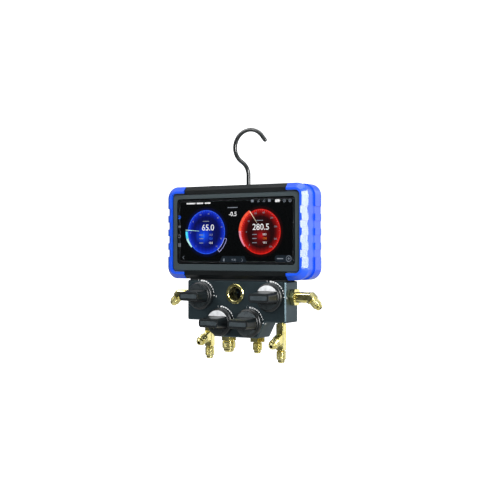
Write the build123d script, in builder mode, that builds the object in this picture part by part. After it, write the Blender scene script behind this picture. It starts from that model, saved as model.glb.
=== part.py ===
from build123d import *
from math import acos, atan2, cos, degrees, hypot, radians, sin, sqrt
import os

# Digital refrigerant manifold gauge that hangs from a swivel hook.
# Millimetres, +X to the right seen from the screen side, -Y towards the screen side, +Z up.
# The origin is the point inside the hook that rests on the rail, straight above the hook's stem.

# ---- hook ----
rod_d = 5.0
hook_r = 21.0
bend_r = 19.6
hook_offset = 2.0
bend_run = 3.6
tip_angle = 38.0
tip_run = 7.0
stem_out = 13.3
collar_d = 8.5
collar_t = 1.2

# ---- head outline ----
head_w = 193.5
head_h = 112.0
corner_r = 14.5
belt_t = 3.2
hook_setback = 36.7
lip_proud = 2.4
panel_proud = 1.0
lip_side = 8.65
lip_top = 8.3
lip_window_r = 5.5
bevel = 5.6
bumper_depth = 40.5
head_depth = 45.2

# ---- bumper ribs ----
rib_count = 4
rib_pitch = 16.8
groove_w = 8.4
groove_depth = 1.3
channel_depth = 1.8
channel_start = 8.7
channel_w = 14.7
cap_reach = 26.25
bar_gap = 0.3

# ---- front bezel, display ----
plate_t = 2.6
shell_t = 2.5
shell_edge = 2.4
panel_gap_x = 1.3
panel_gap_z = 1.8
panel_r = 4.5
glass_edge_x = 5.6
glass_edge_z = 6.45
glass_r = 4.0
glass_rise = 1.3
glass_t = 1.3
glass_recess = 0.2
glass_gap = 0.15
seal_t = 0.4
seal_w = 3.6
lcd_gap = 0.5
lcd_t = 3.0
bar_face_h = 9.8
bar_bevel = 4.7
bar_proud = 0.4
bar_depth = 44.0
back_bevel = 3.0

# ---- inside the head ----
split_depth = 14.0
gasket_t = 0.8
board_gap_x = 18.55
board_gap_z = 4.6
board_t = 1.6
board_depth = 17.2
board_screw_in_x = 15.0
board_screw_in_z = 5.7
boss_r = 3.2
board_screw_r = 1.25
case_screw_r = 1.5
case_head_r = 2.8
case_head_t = 2.4
case_screw_in_x = 9.55
case_screw_in_z = 9.3
case_screw_rows = 3
post_r = 3.9
post_floor = 4.0
screw_bite = 7.0
fit_gap = 0.05
cell_r = 9.25
cell_l = 70.0
battery_drop = 12.0
cradle_t = 2.0

# ---- top of the head ----
port_from_cap = 32.5
socket_w = 8.94
socket_d = 3.26
socket_l = 7.3
socket_wall = 0.4
cover_l = 16.4
cover_w = 8.4
cover_t = 1.8
cover_gap = 0.3
plug_gap = 0.5
plug_l = 9.5
plug_w = 4.0
plug_t = 1.3
hinge_pin_r = 0.5
hinge_pin_l = 1.0
tab_l = 6.0
tab_w = 1.2
tab_h = 1.0
button_from_cap = 18.5
button_r = 4.5
button_rise = 0.8
button_cap_t = 2.8
button_gap = 0.15
button_lock_r = 3.2
button_lock_t = 0.8
button_travel = 0.8
button_stem_r = 2.2
switch_w = 6.0
switch_d = 3.5
switch_h = 3.5
plunger_r = 1.7
plunger_h = 1.0

# ---- manifold block ----
neck_gap = 1.5
neck_in_x = 2.2
neck_to_cap = 5.0
neck_in_y = 1.45
pedestal_d = 13.0
pedestal_set = 7.4
block_h = 48.2
block_d = 29.9
toe_h = 19.0
toe_from_y_port = 10.0
toe_beside_port = 10.2
block_corner_r = 2.0
block_edge = 1.4
face_setback = 5.2
sight_drop = 15.6

# ---- valves ----
upper_from_side = 20.1
upper_drop = 18.6
lower_x = 19.9
lower_drop = 49.4
port_depth = 18.5
ball_r = 7.0
ball_bore_r = 3.0
seat_in = 5.2
seat_t = 3.0
seat_bore_r = 3.4
chamber_r = 7.25
gallery_r = 3.0
riser_r = 2.5
stem_r = 3.5
tang_l = 2.4
tang_w = 2.6
slot_gap = 0.15
gland_r = 8.9
gland_bore_r = 9.0
gland_depth = 7.0
gland_proud = 2.2
packing_r = 6.0
packing_t = 2.4
shoulder_r = 5.4
shoulder_t = 1.5

# ---- knobs ----
skirt_r = 16.8
skirt_gap = 0.6
skirt_out = 5.0
deck_r = 14.9
disc_r = 14.1
deck_out = 7.6
disc_t = 1.2
bar_out = 29.0
bar_l = 27.4
bar_base_h = 14.2
bar_root = 1.0
bar_front_h = 10.2
hub_clear_r = 11.0
hub_clear_t = 3.4
label_w = 22.0
label_h = 4.8
label_t = 0.6
label_shift = 0.3
shaft_in_knob = 12.0

# ---- fittings ----
flare4_r = 5.556
flare4_nose_r = 4.2
flare4_tip_r = 2.9
flare4_bore_r = 2.4
flare6_r = 7.938
flare6_nose_r = 6.5
flare6_tip_r = 4.5
flare6_bore_r = 3.6
neck_relief = 1.6
nose_l = 2.6
thread4_l = 8.4
thread6_l = 8.0
thread_y_l = 9.8
hex_af = 17.0
hex_t = 5.4
shank_r = 7.2
washer_t = 0.5
elbow_body_r = 6.2
elbow_flange_r = 9.2
elbow_flange_t = 4.6
elbow_reach = 22.7
elbow_leg = 4.6
elbow_thread_l = 7.6
y_port_from_side = 17.9
y_port_depth = 22.5
y_bar = 9.5
y_gap = 2.5
y_bar_l = 30.6
y_branch_drop = 15.9
y_hub_l = 12.5
y_branch_bore_r = 2.0
y_hub_h = 10.7
y_hub_inset = 0.3
y_shank_r = 6.0
y_shank_l = 11.0
y_washer_r = 7.4
y_branch_angle = 20.0

# ---- sight glass ----
sight_ring_r = 11.9
sight_ring_t = 1.6
sight_thread_r = 9.6
sight_bore_r = 6.6
sight_open_r = 8.4
sight_lens_r = 9.5
sight_lens_t = 3.0
sight_thread_l = 6.0
sight_seal_t = 0.9

# ---- pressure sensors, neck screws ----
sensor_from_side = 8.7
sensor_r = 6.0
sensor_thread_r = 4.0
sensor_neck_r = 3.6
sensor_deep = 7.0
sensor_hex_t = 4.0
sensor_tall = 9.0
sensor_drill_r = 1.2
neck_screw_count = 4
neck_screw_to_sensor = 14.0
neck_screw_r = 2.0
neck_head_r = 3.5
neck_head_t = 3.0
neck_screw_bite = 8.0
clear_gap = 0.2
hook_bush_r = 4.2
hook_bush_flange_r = 6.5
hook_bush_flange_t = 1.2
hook_boss_w = 16.0
hook_boss_h = 9.0
hook_nut_r = 4.6
hook_nut_t = 4.0
swivel_gap = 0.2
run_gap = 0.05

# ---- places worked out from the sizes ----
hook_centre_z = -sqrt((hook_r - rod_d / 2) ** 2 - hook_offset ** 2)
sweep_reach = hypot(bend_r + hook_r, bend_run)
bend_angle = acos((bend_r + hook_offset) / sweep_reach) - atan2(bend_run, bend_r + hook_r)
bend_start_z = hook_centre_z - (bend_r + hook_r) * sin(bend_angle) - bend_run * cos(bend_angle)
head_top = bend_start_z - stem_out
head_mid = head_top - head_h / 2
head_bottom = head_top - head_h
case_w = head_w - 2 * belt_t
case_h = head_h - 2 * belt_t
case_r = corner_r - belt_t
lip_window_w = head_w - 2 * lip_side
lip_window_h = head_h - 2 * lip_top
panel_w = lip_window_w - 2 * panel_gap_x
panel_h = lip_window_h - 2 * panel_gap_z
glass_w = panel_w - 2 * glass_edge_x
glass_h = panel_h - 2 * glass_edge_z
cut_x = head_w / 2 - cap_reach
board_w = case_w - 2 * board_gap_x
board_h = case_h - 2 * board_gap_z
board_screw_x = board_w - 2 * board_screw_in_x
board_screw_z = board_h - 2 * board_screw_in_z
case_screw_x = case_w - 2 * case_screw_in_x
case_screw_z = (case_h - 2 * case_screw_in_z) / (case_screw_rows - 1)
port_x = port_from_cap - cut_x
button_x = cut_x - button_from_cap
neck_w = 2 * (cut_x - neck_to_cap)
block_w = neck_w + 2 * neck_in_x
neck_d = block_d - 2 * neck_in_y
upper_x = block_w / 2 - upper_from_side
elbow_bend_x = block_w / 2 + elbow_reach
y_port_x = block_w / 2 - y_port_from_side
sensor_x = block_w / 2 - sensor_from_side
neck_screw_pitch = 2 * (sensor_x - neck_screw_to_sensor) / (neck_screw_count - 1)
toe_top_w = 2 * (y_port_x - toe_from_y_port)
toe_low_w = 2 * (lower_x + toe_beside_port)
case_top = head_top - belt_t
case_bottom = head_bottom + belt_t
lip_y = -hook_setback
panel_y = lip_y + lip_proud
plate_y = panel_y + panel_proud
plate_back_y = plate_y + plate_t
split_y = lip_y + split_depth
rear_start_y = split_y + gasket_t
bumper_back_y = lip_y + bumper_depth
case_back_y = lip_y + head_depth
floor_y = case_back_y - shell_t
glass_z = head_mid + glass_rise
glass_y = panel_y + glass_recess
glass_back_y = glass_y + glass_t
seal_back_y = glass_back_y + seal_t
window_w = glass_w - 2 * seal_w
window_h = glass_h - 2 * seal_w
board_y = lip_y + board_depth
board_back_y = board_y + board_t
socket_y = board_back_y + socket_d / 2 + fit_gap
button_z = head_top + button_rise
block_top = head_bottom - neck_gap
block_y = lip_y + face_setback
block_bottom = block_top - block_h
toe_bottom = block_bottom - toe_h
block_mid_y = block_y + block_d / 2
port_y = block_y + port_depth
sight_z = block_top - sight_drop
sight_seat = sight_thread_l + sight_lens_t + sight_seal_t
upper_z = block_top - upper_drop
lower_z = block_top - lower_drop
seat_out = seat_in + seat_t
y_port_y = block_y + y_port_depth
pedestal_y = board_back_y + pedestal_set
inner_bottom = case_bottom + shell_t
inner_top = case_top - shell_t
bar_w = 2 * (cut_x - bar_gap)
bar_front_y = panel_y - bar_proud
bar_back_y = lip_y + bar_depth
button_y = board_back_y + switch_d / 2 + fit_gap
pocket_t = cover_t + 0.1
hinge_y = socket_y + cover_w / 2 - cover_t / 2
hinge_z = head_top - cover_t / 2
boss_bottom = case_top - hook_boss_h
bush_top = head_top + 0.3
battery_z = head_mid - battery_drop
valves = {
    "upper_left": (-upper_x, upper_z),
    "upper_right": (upper_x, upper_z),
    "lower_left": (-lower_x, lower_z),
    "lower_right": (lower_x, lower_z),
}

os.makedirs("parts", exist_ok=True)


def across(y):
    """Plane parallel to the screen at depth y; extrusions with a minus sign go to the back."""
    return Plane.XZ.offset(-y)


def axis_plane(start, along):
    """Plane through start whose local y runs along the given direction, for turned profiles."""
    way = Vector(*along)
    normal = Vector(1, 0, 0) if abs(way.X) < 1e-6 else Vector(0, -1, 0)
    return Plane(origin=start, x_dir=way.cross(normal), z_dir=normal)


def turned(start, along, outline, mode=Mode.ADD):
    """Turns an outline of (radius, distance along) points about the line through start."""
    with BuildSketch(axis_plane(start, along)) as section:
        with BuildLine():
            Polyline(*outline, close=True)
        make_face()
    revolve(section.sketch, axis=Axis(start, along), mode=mode)


def drill(start, along, radius, depth):
    with Locations(Plane(origin=start, z_dir=along)):
        Cylinder(radius, depth, align=(Align.CENTER, Align.CENTER, Align.MIN), mode=Mode.SUBTRACT)


def flare(start, along, thread_r, thread_l, nose_r, tip_r):
    """Male flare end: relief groove, thread at its full diameter, plain nose and sealing cone."""
    root_r = thread_r - 0.9
    thread_end = neck_relief + thread_l
    nose_end = thread_end + nose_l
    cone_end = nose_end + (nose_r - tip_r)
    turned(start, along, [
        (0, -fit_gap), (root_r, -fit_gap), (root_r, neck_relief - 0.5), (thread_r, neck_relief),
        (thread_r, thread_end - 0.6), (thread_r - 0.6, thread_end), (nose_r, thread_end),
        (nose_r, nose_end), (tip_r, cone_end), (0, cone_end),
    ])
    return cone_end


# ---- shared outline of the two shells ----
with BuildPart() as case_core:
    with BuildSketch(across(plate_y)):
        with Locations((0, head_mid)):
            RectangleRounded(case_w, case_h, case_r)
    extrude(amount=-(case_back_y - plate_y))
    chamfer(case_core.faces().sort_by(Axis.Y)[0].edges(), shell_edge)
    chamfer(case_core.faces().sort_by(Axis.Y)[-1].edges(), back_bevel)

with BuildPart() as case_hollow:
    with BuildSketch(across(plate_back_y)):
        with Locations((0, head_mid)):
            RectangleRounded(case_w - 2 * shell_t, case_h - 2 * shell_t, case_r - shell_t)
    extrude(amount=-(floor_y - plate_back_y))

case_screw_spots = GridLocations(case_screw_x, case_screw_z, 2, case_screw_rows).local_locations
board_screw_spots = GridLocations(board_screw_x, board_screw_z, 2, 2).local_locations


# ---- front bezel ----
with BuildPart() as front_bezel:
    add(case_core.part)
    split(bisect_by=across(split_y), keep=Keep.TOP)
    add(case_hollow.part, mode=Mode.SUBTRACT)
    with BuildSketch(across(plate_y)):
        with Locations((0, head_mid)):
            RectangleRounded(panel_w, panel_h, panel_r)
    extrude(amount=panel_proud)
    chamfer(front_bezel.faces().sort_by(Axis.Y)[0].edges(), 0.4)
    with BuildSketch(across(panel_y)):
        with Locations((0, glass_z)):
            RectangleRounded(glass_w + 2 * glass_gap, glass_h + 2 * glass_gap, glass_r + glass_gap)
    extrude(amount=-(seal_back_y - panel_y), mode=Mode.SUBTRACT)
    with BuildSketch(across(panel_y)):
        with Locations((0, glass_z)):
            Rectangle(window_w, window_h)
    extrude(amount=-(plate_back_y - panel_y), mode=Mode.SUBTRACT)
    with BuildSketch(across(plate_back_y)):
        with Locations((0, head_mid)):
            with Locations(*case_screw_spots):
                Circle(post_r)
    extrude(amount=-(rear_start_y - 0.1 - plate_back_y))
    with BuildSketch(across(plate_back_y)):
        with Locations((0, head_mid)):
            with Locations(*board_screw_spots):
                Circle(boss_r)
    extrude(amount=-(board_y - plate_back_y))
    with BuildSketch(across(rear_start_y)):
        with Locations((0, head_mid)):
            with Locations(*case_screw_spots):
                Circle(case_screw_r + fit_gap)
    extrude(amount=screw_bite + gasket_t + 0.4, mode=Mode.SUBTRACT)
    with BuildSketch(across(board_y)):
        with Locations((0, head_mid)):
            with Locations(*board_screw_spots):
                Circle(board_screw_r + fit_gap)
    extrude(amount=screw_bite + 0.4, mode=Mode.SUBTRACT)
front_bezel.part.label = "front_bezel"
export_step(front_bezel.part, "parts/front_bezel.step")

# ---- seal, glass and display behind the bezel's window ----
with BuildPart() as display_seal:
    with BuildSketch(across(glass_back_y)):
        with Locations((0, glass_z)):
            RectangleRounded(glass_w, glass_h, glass_r)
            Rectangle(window_w + 2 * glass_gap, window_h + 2 * glass_gap, mode=Mode.SUBTRACT)
    extrude(amount=-seal_t)
display_seal.part.label = "display_seal"
export_step(display_seal.part, "parts/display_seal.step")

with BuildPart() as display_glass:
    with BuildSketch(across(glass_y)):
        with Locations((0, glass_z)):
            RectangleRounded(glass_w, glass_h, glass_r)
    extrude(amount=-glass_t)
    chamfer(display_glass.faces().sort_by(Axis.Y)[0].edges(), 0.25)
display_glass.part.label = "display_glass"
export_step(display_glass.part, "parts/display_glass.step")

with BuildPart() as lcd_panel:
    with BuildSketch(across(glass_back_y)):
        with Locations((0, glass_z)):
            Rectangle(window_w - 2 * lcd_gap, window_h - 2 * lcd_gap)
    extrude(amount=-lcd_t)
lcd_panel.part.label = "lcd_panel"
export_step(lcd_panel.part, "parts/lcd_panel.step")

# ---- gasket between the shells ----
with BuildPart() as housing_gasket:
    with BuildSketch(across(split_y)):
        with Locations((0, head_mid)):
            RectangleRounded(case_w, case_h, case_r)
            RectangleRounded(
                case_w - 2 * shell_t, case_h - 2 * shell_t, case_r - shell_t, mode=Mode.SUBTRACT
            )
    extrude(amount=-gasket_t)
housing_gasket.part.label = "housing_gasket"
export_step(housing_gasket.part, "parts/housing_gasket.step")

# ---- main board, its screws, socket and switch ----
with BuildPart() as main_board:
    with BuildSketch(across(board_y)):
        with Locations((0, head_mid)):
            Rectangle(board_w, board_h)
            with Locations(*board_screw_spots):
                Circle(board_screw_r + clear_gap, mode=Mode.SUBTRACT)
    extrude(amount=-board_t)
main_board.part.label = "main_board"
export_step(main_board.part, "parts/main_board.step")

with BuildPart() as board_screws:
    with BuildSketch(across(board_back_y)):
        with Locations((0, head_mid)):
            with Locations(*board_screw_spots):
                Circle(2 * board_screw_r)
    extrude(amount=-1.6)
    with BuildSketch(across(board_back_y)):
        with Locations((0, head_mid)):
            with Locations(*board_screw_spots):
                Circle(board_screw_r)
    extrude(amount=board_t + screw_bite)
board_screws.part.label = "board_screws"
export_step(board_screws.part, "parts/board_screws.step")

socket_top = case_top - 0.2
with BuildPart() as usb_port:
    with BuildSketch(Plane.XY.offset(socket_top)):
        with Locations((port_x, socket_y)):
            SlotOverall(socket_w, socket_d)
    extrude(amount=-socket_l)
    with BuildSketch(Plane.XY.offset(socket_top)):
        with Locations((port_x, socket_y)):
            SlotOverall(socket_w - 2 * socket_wall, socket_d - 2 * socket_wall)
    extrude(amount=-(socket_l - 1.2), mode=Mode.SUBTRACT)
    with BuildSketch(Plane.XY.offset(socket_top - socket_l + 0.6)):
        with Locations((port_x, socket_y)):
            Rectangle(6.7, 0.7)
    extrude(amount=socket_l - 1.6)
usb_port.part.label = "usb_port"
export_step(usb_port.part, "parts/usb_port.step")

button_bottom = inner_top - 0.1 - button_lock_t
plunger_top = button_bottom - button_travel - 0.1
with BuildPart() as power_switch:
    with BuildSketch(Plane.XY.offset(plunger_top - plunger_h)):
        with Locations((button_x, button_y)):
            Rectangle(switch_w, switch_d)
    extrude(amount=-switch_h)
    with BuildSketch(Plane.XY.offset(plunger_top - plunger_h)):
        with Locations((button_x, button_y)):
            Circle(plunger_r)
    extrude(amount=plunger_h)
power_switch.part.label = "power_switch"
export_step(power_switch.part, "parts/power_switch.step")

with BuildPart() as power_button:
    turned((button_x, button_y, button_bottom), (0, 0, 1), [
        (0, 0), (button_lock_r, 0), (button_lock_r, button_lock_t), (button_stem_r, button_lock_t),
        (button_stem_r, button_z - button_cap_t - button_bottom),
        (button_r, button_z - button_cap_t - button_bottom),
        (button_r, button_z - 0.4 - button_bottom), (button_r - 0.4, button_z - button_bottom),
        (0, button_z - button_bottom),
    ])
power_button.part.label = "power_button"
export_step(power_button.part, "parts/power_button.step")

# ---- rubber cover of the charging socket ----
with BuildPart() as usb_cover:
    with BuildSketch(Plane.XY.offset(head_top - cover_t)):
        with Locations((port_x, socket_y)):
            RectangleRounded(cover_l, cover_w, 1.0)
    extrude(amount=cover_t)
    rear_edges = usb_cover.edges().filter_by(Axis.X).group_by(Axis.Y)[-1]
    fillet(rear_edges, cover_t / 2 - 0.01)
    with BuildSketch(Plane.XY.offset(head_top)):
        with Locations((port_x, socket_y - cover_w / 2 + tab_w / 2 + 0.2)):
            Rectangle(tab_l, tab_w)
    extrude(amount=tab_h)
    with BuildSketch(Plane.XY.offset(head_top - cover_t)):
        with Locations((port_x, socket_y)):
            RectangleRounded(plug_l, plug_w, 0.8)
    extrude(amount=-plug_t)
    with Locations(Plane(origin=(port_x, hinge_y, hinge_z), z_dir=(1, 0, 0))):
        Cylinder(hinge_pin_r, cover_l + 2 * hinge_pin_l)
usb_cover.part.label = "usb_cover"
export_step(usb_cover.part, "parts/usb_cover.step")

# ---- rear cover ----
with BuildPart() as rear_cover:
    add(case_core.part)
    split(bisect_by=across(rear_start_y), keep=Keep.BOTTOM)
    add(case_hollow.part, mode=Mode.SUBTRACT)
    with Locations((0, pedestal_y, (head_bottom + inner_bottom) / 2)):
        Box(neck_w, pedestal_d, inner_bottom - head_bottom)
    boss_back_y = case_back_y - back_bevel
    with Locations((0, (boss_back_y - hook_boss_w / 2) / 2, case_top - hook_boss_h / 2)):
        Box(hook_boss_w, boss_back_y + hook_boss_w / 2, hook_boss_h)
    with BuildSketch(across(rear_start_y)):
        with Locations((0, head_mid)):
            with Locations(*case_screw_spots):
                Circle(post_r)
    extrude(amount=-(floor_y - rear_start_y))
    for edge in (-1, 1):
        with Locations((0, floor_y - cell_r / 2, battery_z + edge * (2 * cell_r + fit_gap + cradle_t / 2))):
            Box(cell_l - 10, cell_r, cradle_t)
    with BuildSketch(across(rear_start_y)):
        with Locations((0, head_mid)):
            with Locations(*case_screw_spots):
                Circle(case_screw_r + clear_gap)
    extrude(amount=-head_depth, mode=Mode.SUBTRACT)
    with BuildSketch(across(rear_start_y + post_floor)):
        with Locations((0, head_mid)):
            with Locations(*case_screw_spots):
                Circle(case_head_r + clear_gap)
    extrude(amount=-head_depth, mode=Mode.SUBTRACT)
    with BuildSketch(Plane.XY.offset(case_top)):
        with Locations((port_x, socket_y)):
            SlotOverall(socket_w + 2 * fit_gap, socket_d + 2 * fit_gap)
        with Locations((button_x, button_y)):
            Circle(button_stem_r + button_gap)
    extrude(amount=-shell_t, mode=Mode.SUBTRACT)
    with Locations((0, 0, case_top - hook_boss_h / 2)):
        Cylinder(hook_bush_r + fit_gap, hook_boss_h, mode=Mode.SUBTRACT)
    with BuildSketch(Plane.XY.offset(head_bottom)):
        with Locations((0, pedestal_y)):
            with GridLocations(neck_screw_pitch, 0, neck_screw_count, 1):
                Circle(neck_screw_r + clear_gap)
            with GridLocations(2 * sensor_x, 0, 2, 1):
                Circle(sensor_neck_r + clear_gap)
    extrude(amount=inner_bottom - head_bottom, mode=Mode.SUBTRACT)
rear_cover.part.label = "rear_cover"
export_step(rear_cover.part, "parts/rear_cover.step")

with BuildPart() as housing_screws:
    head_y = rear_start_y + post_floor
    with BuildSketch(across(head_y)):
        with Locations((0, head_mid)):
            with Locations(*case_screw_spots):
                Circle(case_head_r)
    extrude(amount=-case_head_t)
    with BuildSketch(across(head_y + case_head_t)):
        with Locations((0, head_mid)):
            with Locations(*case_screw_spots):
                RegularPolygon(1.3, 6)
    extrude(amount=1.4, mode=Mode.SUBTRACT)
    with BuildSketch(across(head_y)):
        with Locations((0, head_mid)):
            with Locations(*case_screw_spots):
                Circle(case_screw_r)
    extrude(amount=post_floor + gasket_t + screw_bite)
housing_screws.part.label = "housing_screws"
export_step(housing_screws.part, "parts/housing_screws.step")

# ---- battery pack of two cells against the back wall ----
with BuildPart() as battery_pack:
    with BuildSketch(Plane.YZ):
        with Locations((floor_y - cell_r, battery_z)):
            SlotOverall(4 * cell_r, 2 * cell_r, rotation=90)
    extrude(amount=cell_l / 2, both=True)
battery_pack.part.label = "battery_pack"
export_step(battery_pack.part, "parts/battery_pack.step")

# ---- bumpers over both ends of the head ----
groove_wall = head_w / 2 - groove_depth
groove_slope = groove_depth * sqrt(2)
for side, name in ((-1, "bumper_left"), (1, "bumper_right")):
    with BuildPart() as bumper:
        with BuildSketch(across(lip_y)):
            with Locations((0, head_mid)):
                RectangleRounded(head_w, head_h, corner_r)
        extrude(amount=-bumper_depth)
        chamfer(bumper.faces().sort_by(Axis.Y)[0].edges(), bevel)
        chamfer(bumper.faces().sort_by(Axis.Y)[-1].edges(), 1.0)
        with BuildSketch(across(lip_y + channel_start)):
            with Locations((0, head_mid)):
                RectangleRounded(head_w + 2, head_h + 2, corner_r + 1)
                RectangleRounded(
                    head_w - 2 * channel_depth, head_h - 2 * channel_depth,
                    corner_r - channel_depth, mode=Mode.SUBTRACT,
                )
        extrude(amount=-channel_w, mode=Mode.SUBTRACT)
        for row in range(rib_count):
            low = head_mid + (row - (rib_count - 1) / 2) * rib_pitch - groove_w / 2
            with BuildSketch(Plane.XY.offset(low)):
                with BuildLine():
                    Polyline(
                        (side * groove_wall, bumper_back_y + 1),
                        (side * groove_wall, lip_y + bevel - groove_depth + groove_slope),
                        (side * (head_w / 2 - bevel - groove_slope - 1), lip_y - 1),
                        (side * (head_w / 2 + 1), lip_y - 1),
                        (side * (head_w / 2 + 1), bumper_back_y + 1),
                        close=True,
                    )
                make_face()
            extrude(amount=groove_w, mode=Mode.SUBTRACT)
        with BuildSketch(across(lip_y)):
            with Locations((0, head_mid)):
                RectangleRounded(lip_window_w, lip_window_h, lip_window_r)
        extrude(amount=-head_depth, mode=Mode.SUBTRACT)
        add(case_core.part, mode=Mode.SUBTRACT)
        if side > 0:
            split(bisect_by=Plane.YZ.offset(cut_x), keep=Keep.TOP)
        else:
            split(bisect_by=Plane.YZ.offset(-cut_x), keep=Keep.BOTTOM)
    bumper.part.label = name
    export_step(bumper.part, f"parts/{name}.step")

# ---- trim bars along the top and the bottom of the head ----
def bar_section(edge):
    """Section of a trim bar; edge is 1 for the top of the head and -1 for its bottom."""
    half = head_h / 2
    return [
        (bar_front_y, head_mid + edge * (half - bar_face_h)),
        (bar_front_y, head_mid + edge * (half - bar_bevel)),
        (bar_front_y + bar_bevel, head_mid + edge * half),
        (bar_back_y, head_mid + edge * half),
        (bar_back_y, head_mid + edge * (half - belt_t - 1)),
        (plate_y + 1, head_mid + edge * (half - belt_t - 1)),
        (plate_y + 1, head_mid + edge * (half - bar_face_h)),
    ]


with BuildPart() as top_bar:
    with BuildSketch(Plane.YZ):
        with BuildLine():
            Polyline(*bar_section(1), close=True)
        make_face()
    extrude(amount=bar_w / 2, both=True)
    add(case_core.part, mode=Mode.SUBTRACT)
    with Locations((0, 0, case_top + belt_t / 2)):
        Cylinder(hook_bush_r + clear_gap, belt_t, mode=Mode.SUBTRACT)
    with Locations((0, 0, bush_top - hook_bush_flange_t)):
        Cylinder(
            hook_bush_flange_r + clear_gap, belt_t,
            align=(Align.CENTER, Align.CENTER, Align.MIN), mode=Mode.SUBTRACT,
        )
    with BuildSketch(Plane.XY.offset(head_top)):
        with Locations((port_x, socket_y)):
            RectangleRounded(cover_l + 2 * cover_gap, cover_w + 2 * cover_gap, 1.2)
    extrude(amount=-pocket_t, mode=Mode.SUBTRACT)
    with BuildSketch(Plane.XY.offset(head_top)):
        with Locations((port_x, socket_y)):
            RectangleRounded(plug_l + 2 * plug_gap, plug_w + 2 * plug_gap, 1.0)
        with Locations((button_x, button_y)):
            Circle(button_r + button_gap)
    extrude(amount=-belt_t, mode=Mode.SUBTRACT)
    with Locations(Plane(origin=(port_x, hinge_y, hinge_z), z_dir=(1, 0, 0))):
        Cylinder(
            hinge_pin_r + run_gap, cover_l + 2 * (hinge_pin_l + cover_gap), mode=Mode.SUBTRACT
        )
top_bar.part.label = "top_bar"
export_step(top_bar.part, "parts/top_bar.step")

with BuildPart() as bottom_bar:
    with BuildSketch(Plane.YZ):
        with BuildLine():
            Polyline(*bar_section(-1), close=True)
        make_face()
    extrude(amount=bar_w / 2, both=True)
    add(case_core.part, mode=Mode.SUBTRACT)
    with Locations((0, pedestal_y, head_bottom)):
        Box(neck_w + 2 * clear_gap, pedestal_d + 2 * clear_gap, 3 * belt_t, mode=Mode.SUBTRACT)
bottom_bar.part.label = "bottom_bar"
export_step(bottom_bar.part, "parts/bottom_bar.step")

# ---- hook with its bush and nut ----
stem_end = boss_bottom - swivel_gap - hook_nut_t - 1.0
bend_deg = degrees(bend_angle)
tip_dir = Vector(sin(radians(tip_angle)), -cos(radians(tip_angle)))
run_dir = Vector(-sin(bend_angle), cos(bend_angle))
with BuildPart() as hook:
    with BuildLine(Plane.XZ) as rod_line:
        stem_line = Line((0, stem_end), (0, bend_start_z))
        back_bend = CenterArc((-bend_r, bend_start_z), bend_r, 0, bend_deg)
        run_line = Line(
            (-bend_r + bend_r * cos(bend_angle), bend_start_z + bend_r * sin(bend_angle)),
            (-bend_r + bend_r * cos(bend_angle) + bend_run * run_dir.X,
             bend_start_z + bend_r * sin(bend_angle) + bend_run * run_dir.Y),
        )
        crook = CenterArc(
            (hook_offset, hook_centre_z), hook_r, 180 + bend_deg, tip_angle - 180 - bend_deg
        )
        tip_start = (
            hook_offset + hook_r * cos(radians(tip_angle)),
            hook_centre_z + hook_r * sin(radians(tip_angle)),
        )
        tip_line = Line(
            tip_start, (tip_start[0] + tip_run * tip_dir.X, tip_start[1] + tip_run * tip_dir.Y)
        )
    with BuildSketch(Plane.XY.offset(stem_end)):
        Circle(rod_d / 2)
    sweep(path=rod_line.wires()[0])
    with Locations((tip_start[0] + tip_run * tip_dir.X, 0, tip_start[1] + tip_run * tip_dir.Y)):
        Sphere(rod_d / 2)
    with Locations((0, 0, bush_top + swivel_gap)):
        Cylinder(collar_d / 2, collar_t, align=(Align.CENTER, Align.CENTER, Align.MIN))
hook.part.label = "hook"
export_step(hook.part, "parts/hook.step")

with BuildPart() as hook_bush:
    turned((0, 0, boss_bottom), (0, 0, 1), [
        (rod_d / 2 + run_gap, 0), (hook_bush_r, 0),
        (hook_bush_r, bush_top - hook_bush_flange_t - boss_bottom),
        (hook_bush_flange_r, bush_top - hook_bush_flange_t - boss_bottom),
        (hook_bush_flange_r, bush_top - boss_bottom),
        (rod_d / 2 + run_gap, bush_top - boss_bottom),
    ])
hook_bush.part.label = "hook_bush"
export_step(hook_bush.part, "parts/hook_bush.step")

with BuildPart() as hook_nut:
    with BuildSketch(Plane.XY.offset(boss_bottom - swivel_gap)):
        RegularPolygon(hook_nut_r, 6, major_radius=False)
        Circle(rod_d / 2 + fit_gap, mode=Mode.SUBTRACT)
    extrude(amount=-hook_nut_t)
hook_nut.part.label = "hook_nut"
export_step(hook_nut.part, "parts/hook_nut.step")

# ---- neck between head and block ----
with BuildPart() as neck_pad:
    with BuildSketch(Plane.XY.offset(block_top)):
        with Locations((0, block_mid_y)):
            RectangleRounded(neck_w, neck_d, 2.0)
        with Locations((0, pedestal_y)):
            with GridLocations(neck_screw_pitch, 0, neck_screw_count, 1):
                Circle(neck_screw_r + clear_gap, mode=Mode.SUBTRACT)
            with GridLocations(2 * sensor_x, 0, 2, 1):
                Circle(sensor_thread_r + clear_gap, mode=Mode.SUBTRACT)
    extrude(amount=neck_gap)
neck_pad.part.label = "neck_pad"
export_step(neck_pad.part, "parts/neck_pad.step")

with BuildPart() as neck_screws:
    with BuildSketch(Plane.XY.offset(inner_bottom)):
        with Locations((0, pedestal_y)):
            with GridLocations(neck_screw_pitch, 0, neck_screw_count, 1):
                Circle(neck_head_r)
    extrude(amount=neck_head_t)
    with BuildSketch(Plane.XY.offset(inner_bottom + neck_head_t)):
        with Locations((0, pedestal_y)):
            with GridLocations(neck_screw_pitch, 0, neck_screw_count, 1):
                RegularPolygon(1.7, 6)
    extrude(amount=-1.8, mode=Mode.SUBTRACT)
    with BuildSketch(Plane.XY.offset(inner_bottom)):
        with Locations((0, pedestal_y)):
            with GridLocations(neck_screw_pitch, 0, neck_screw_count, 1):
                Circle(neck_screw_r)
    extrude(amount=-(inner_bottom - block_top + neck_screw_bite))
neck_screws.part.label = "neck_screws"
export_step(neck_screws.part, "parts/neck_screws.step")

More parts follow.
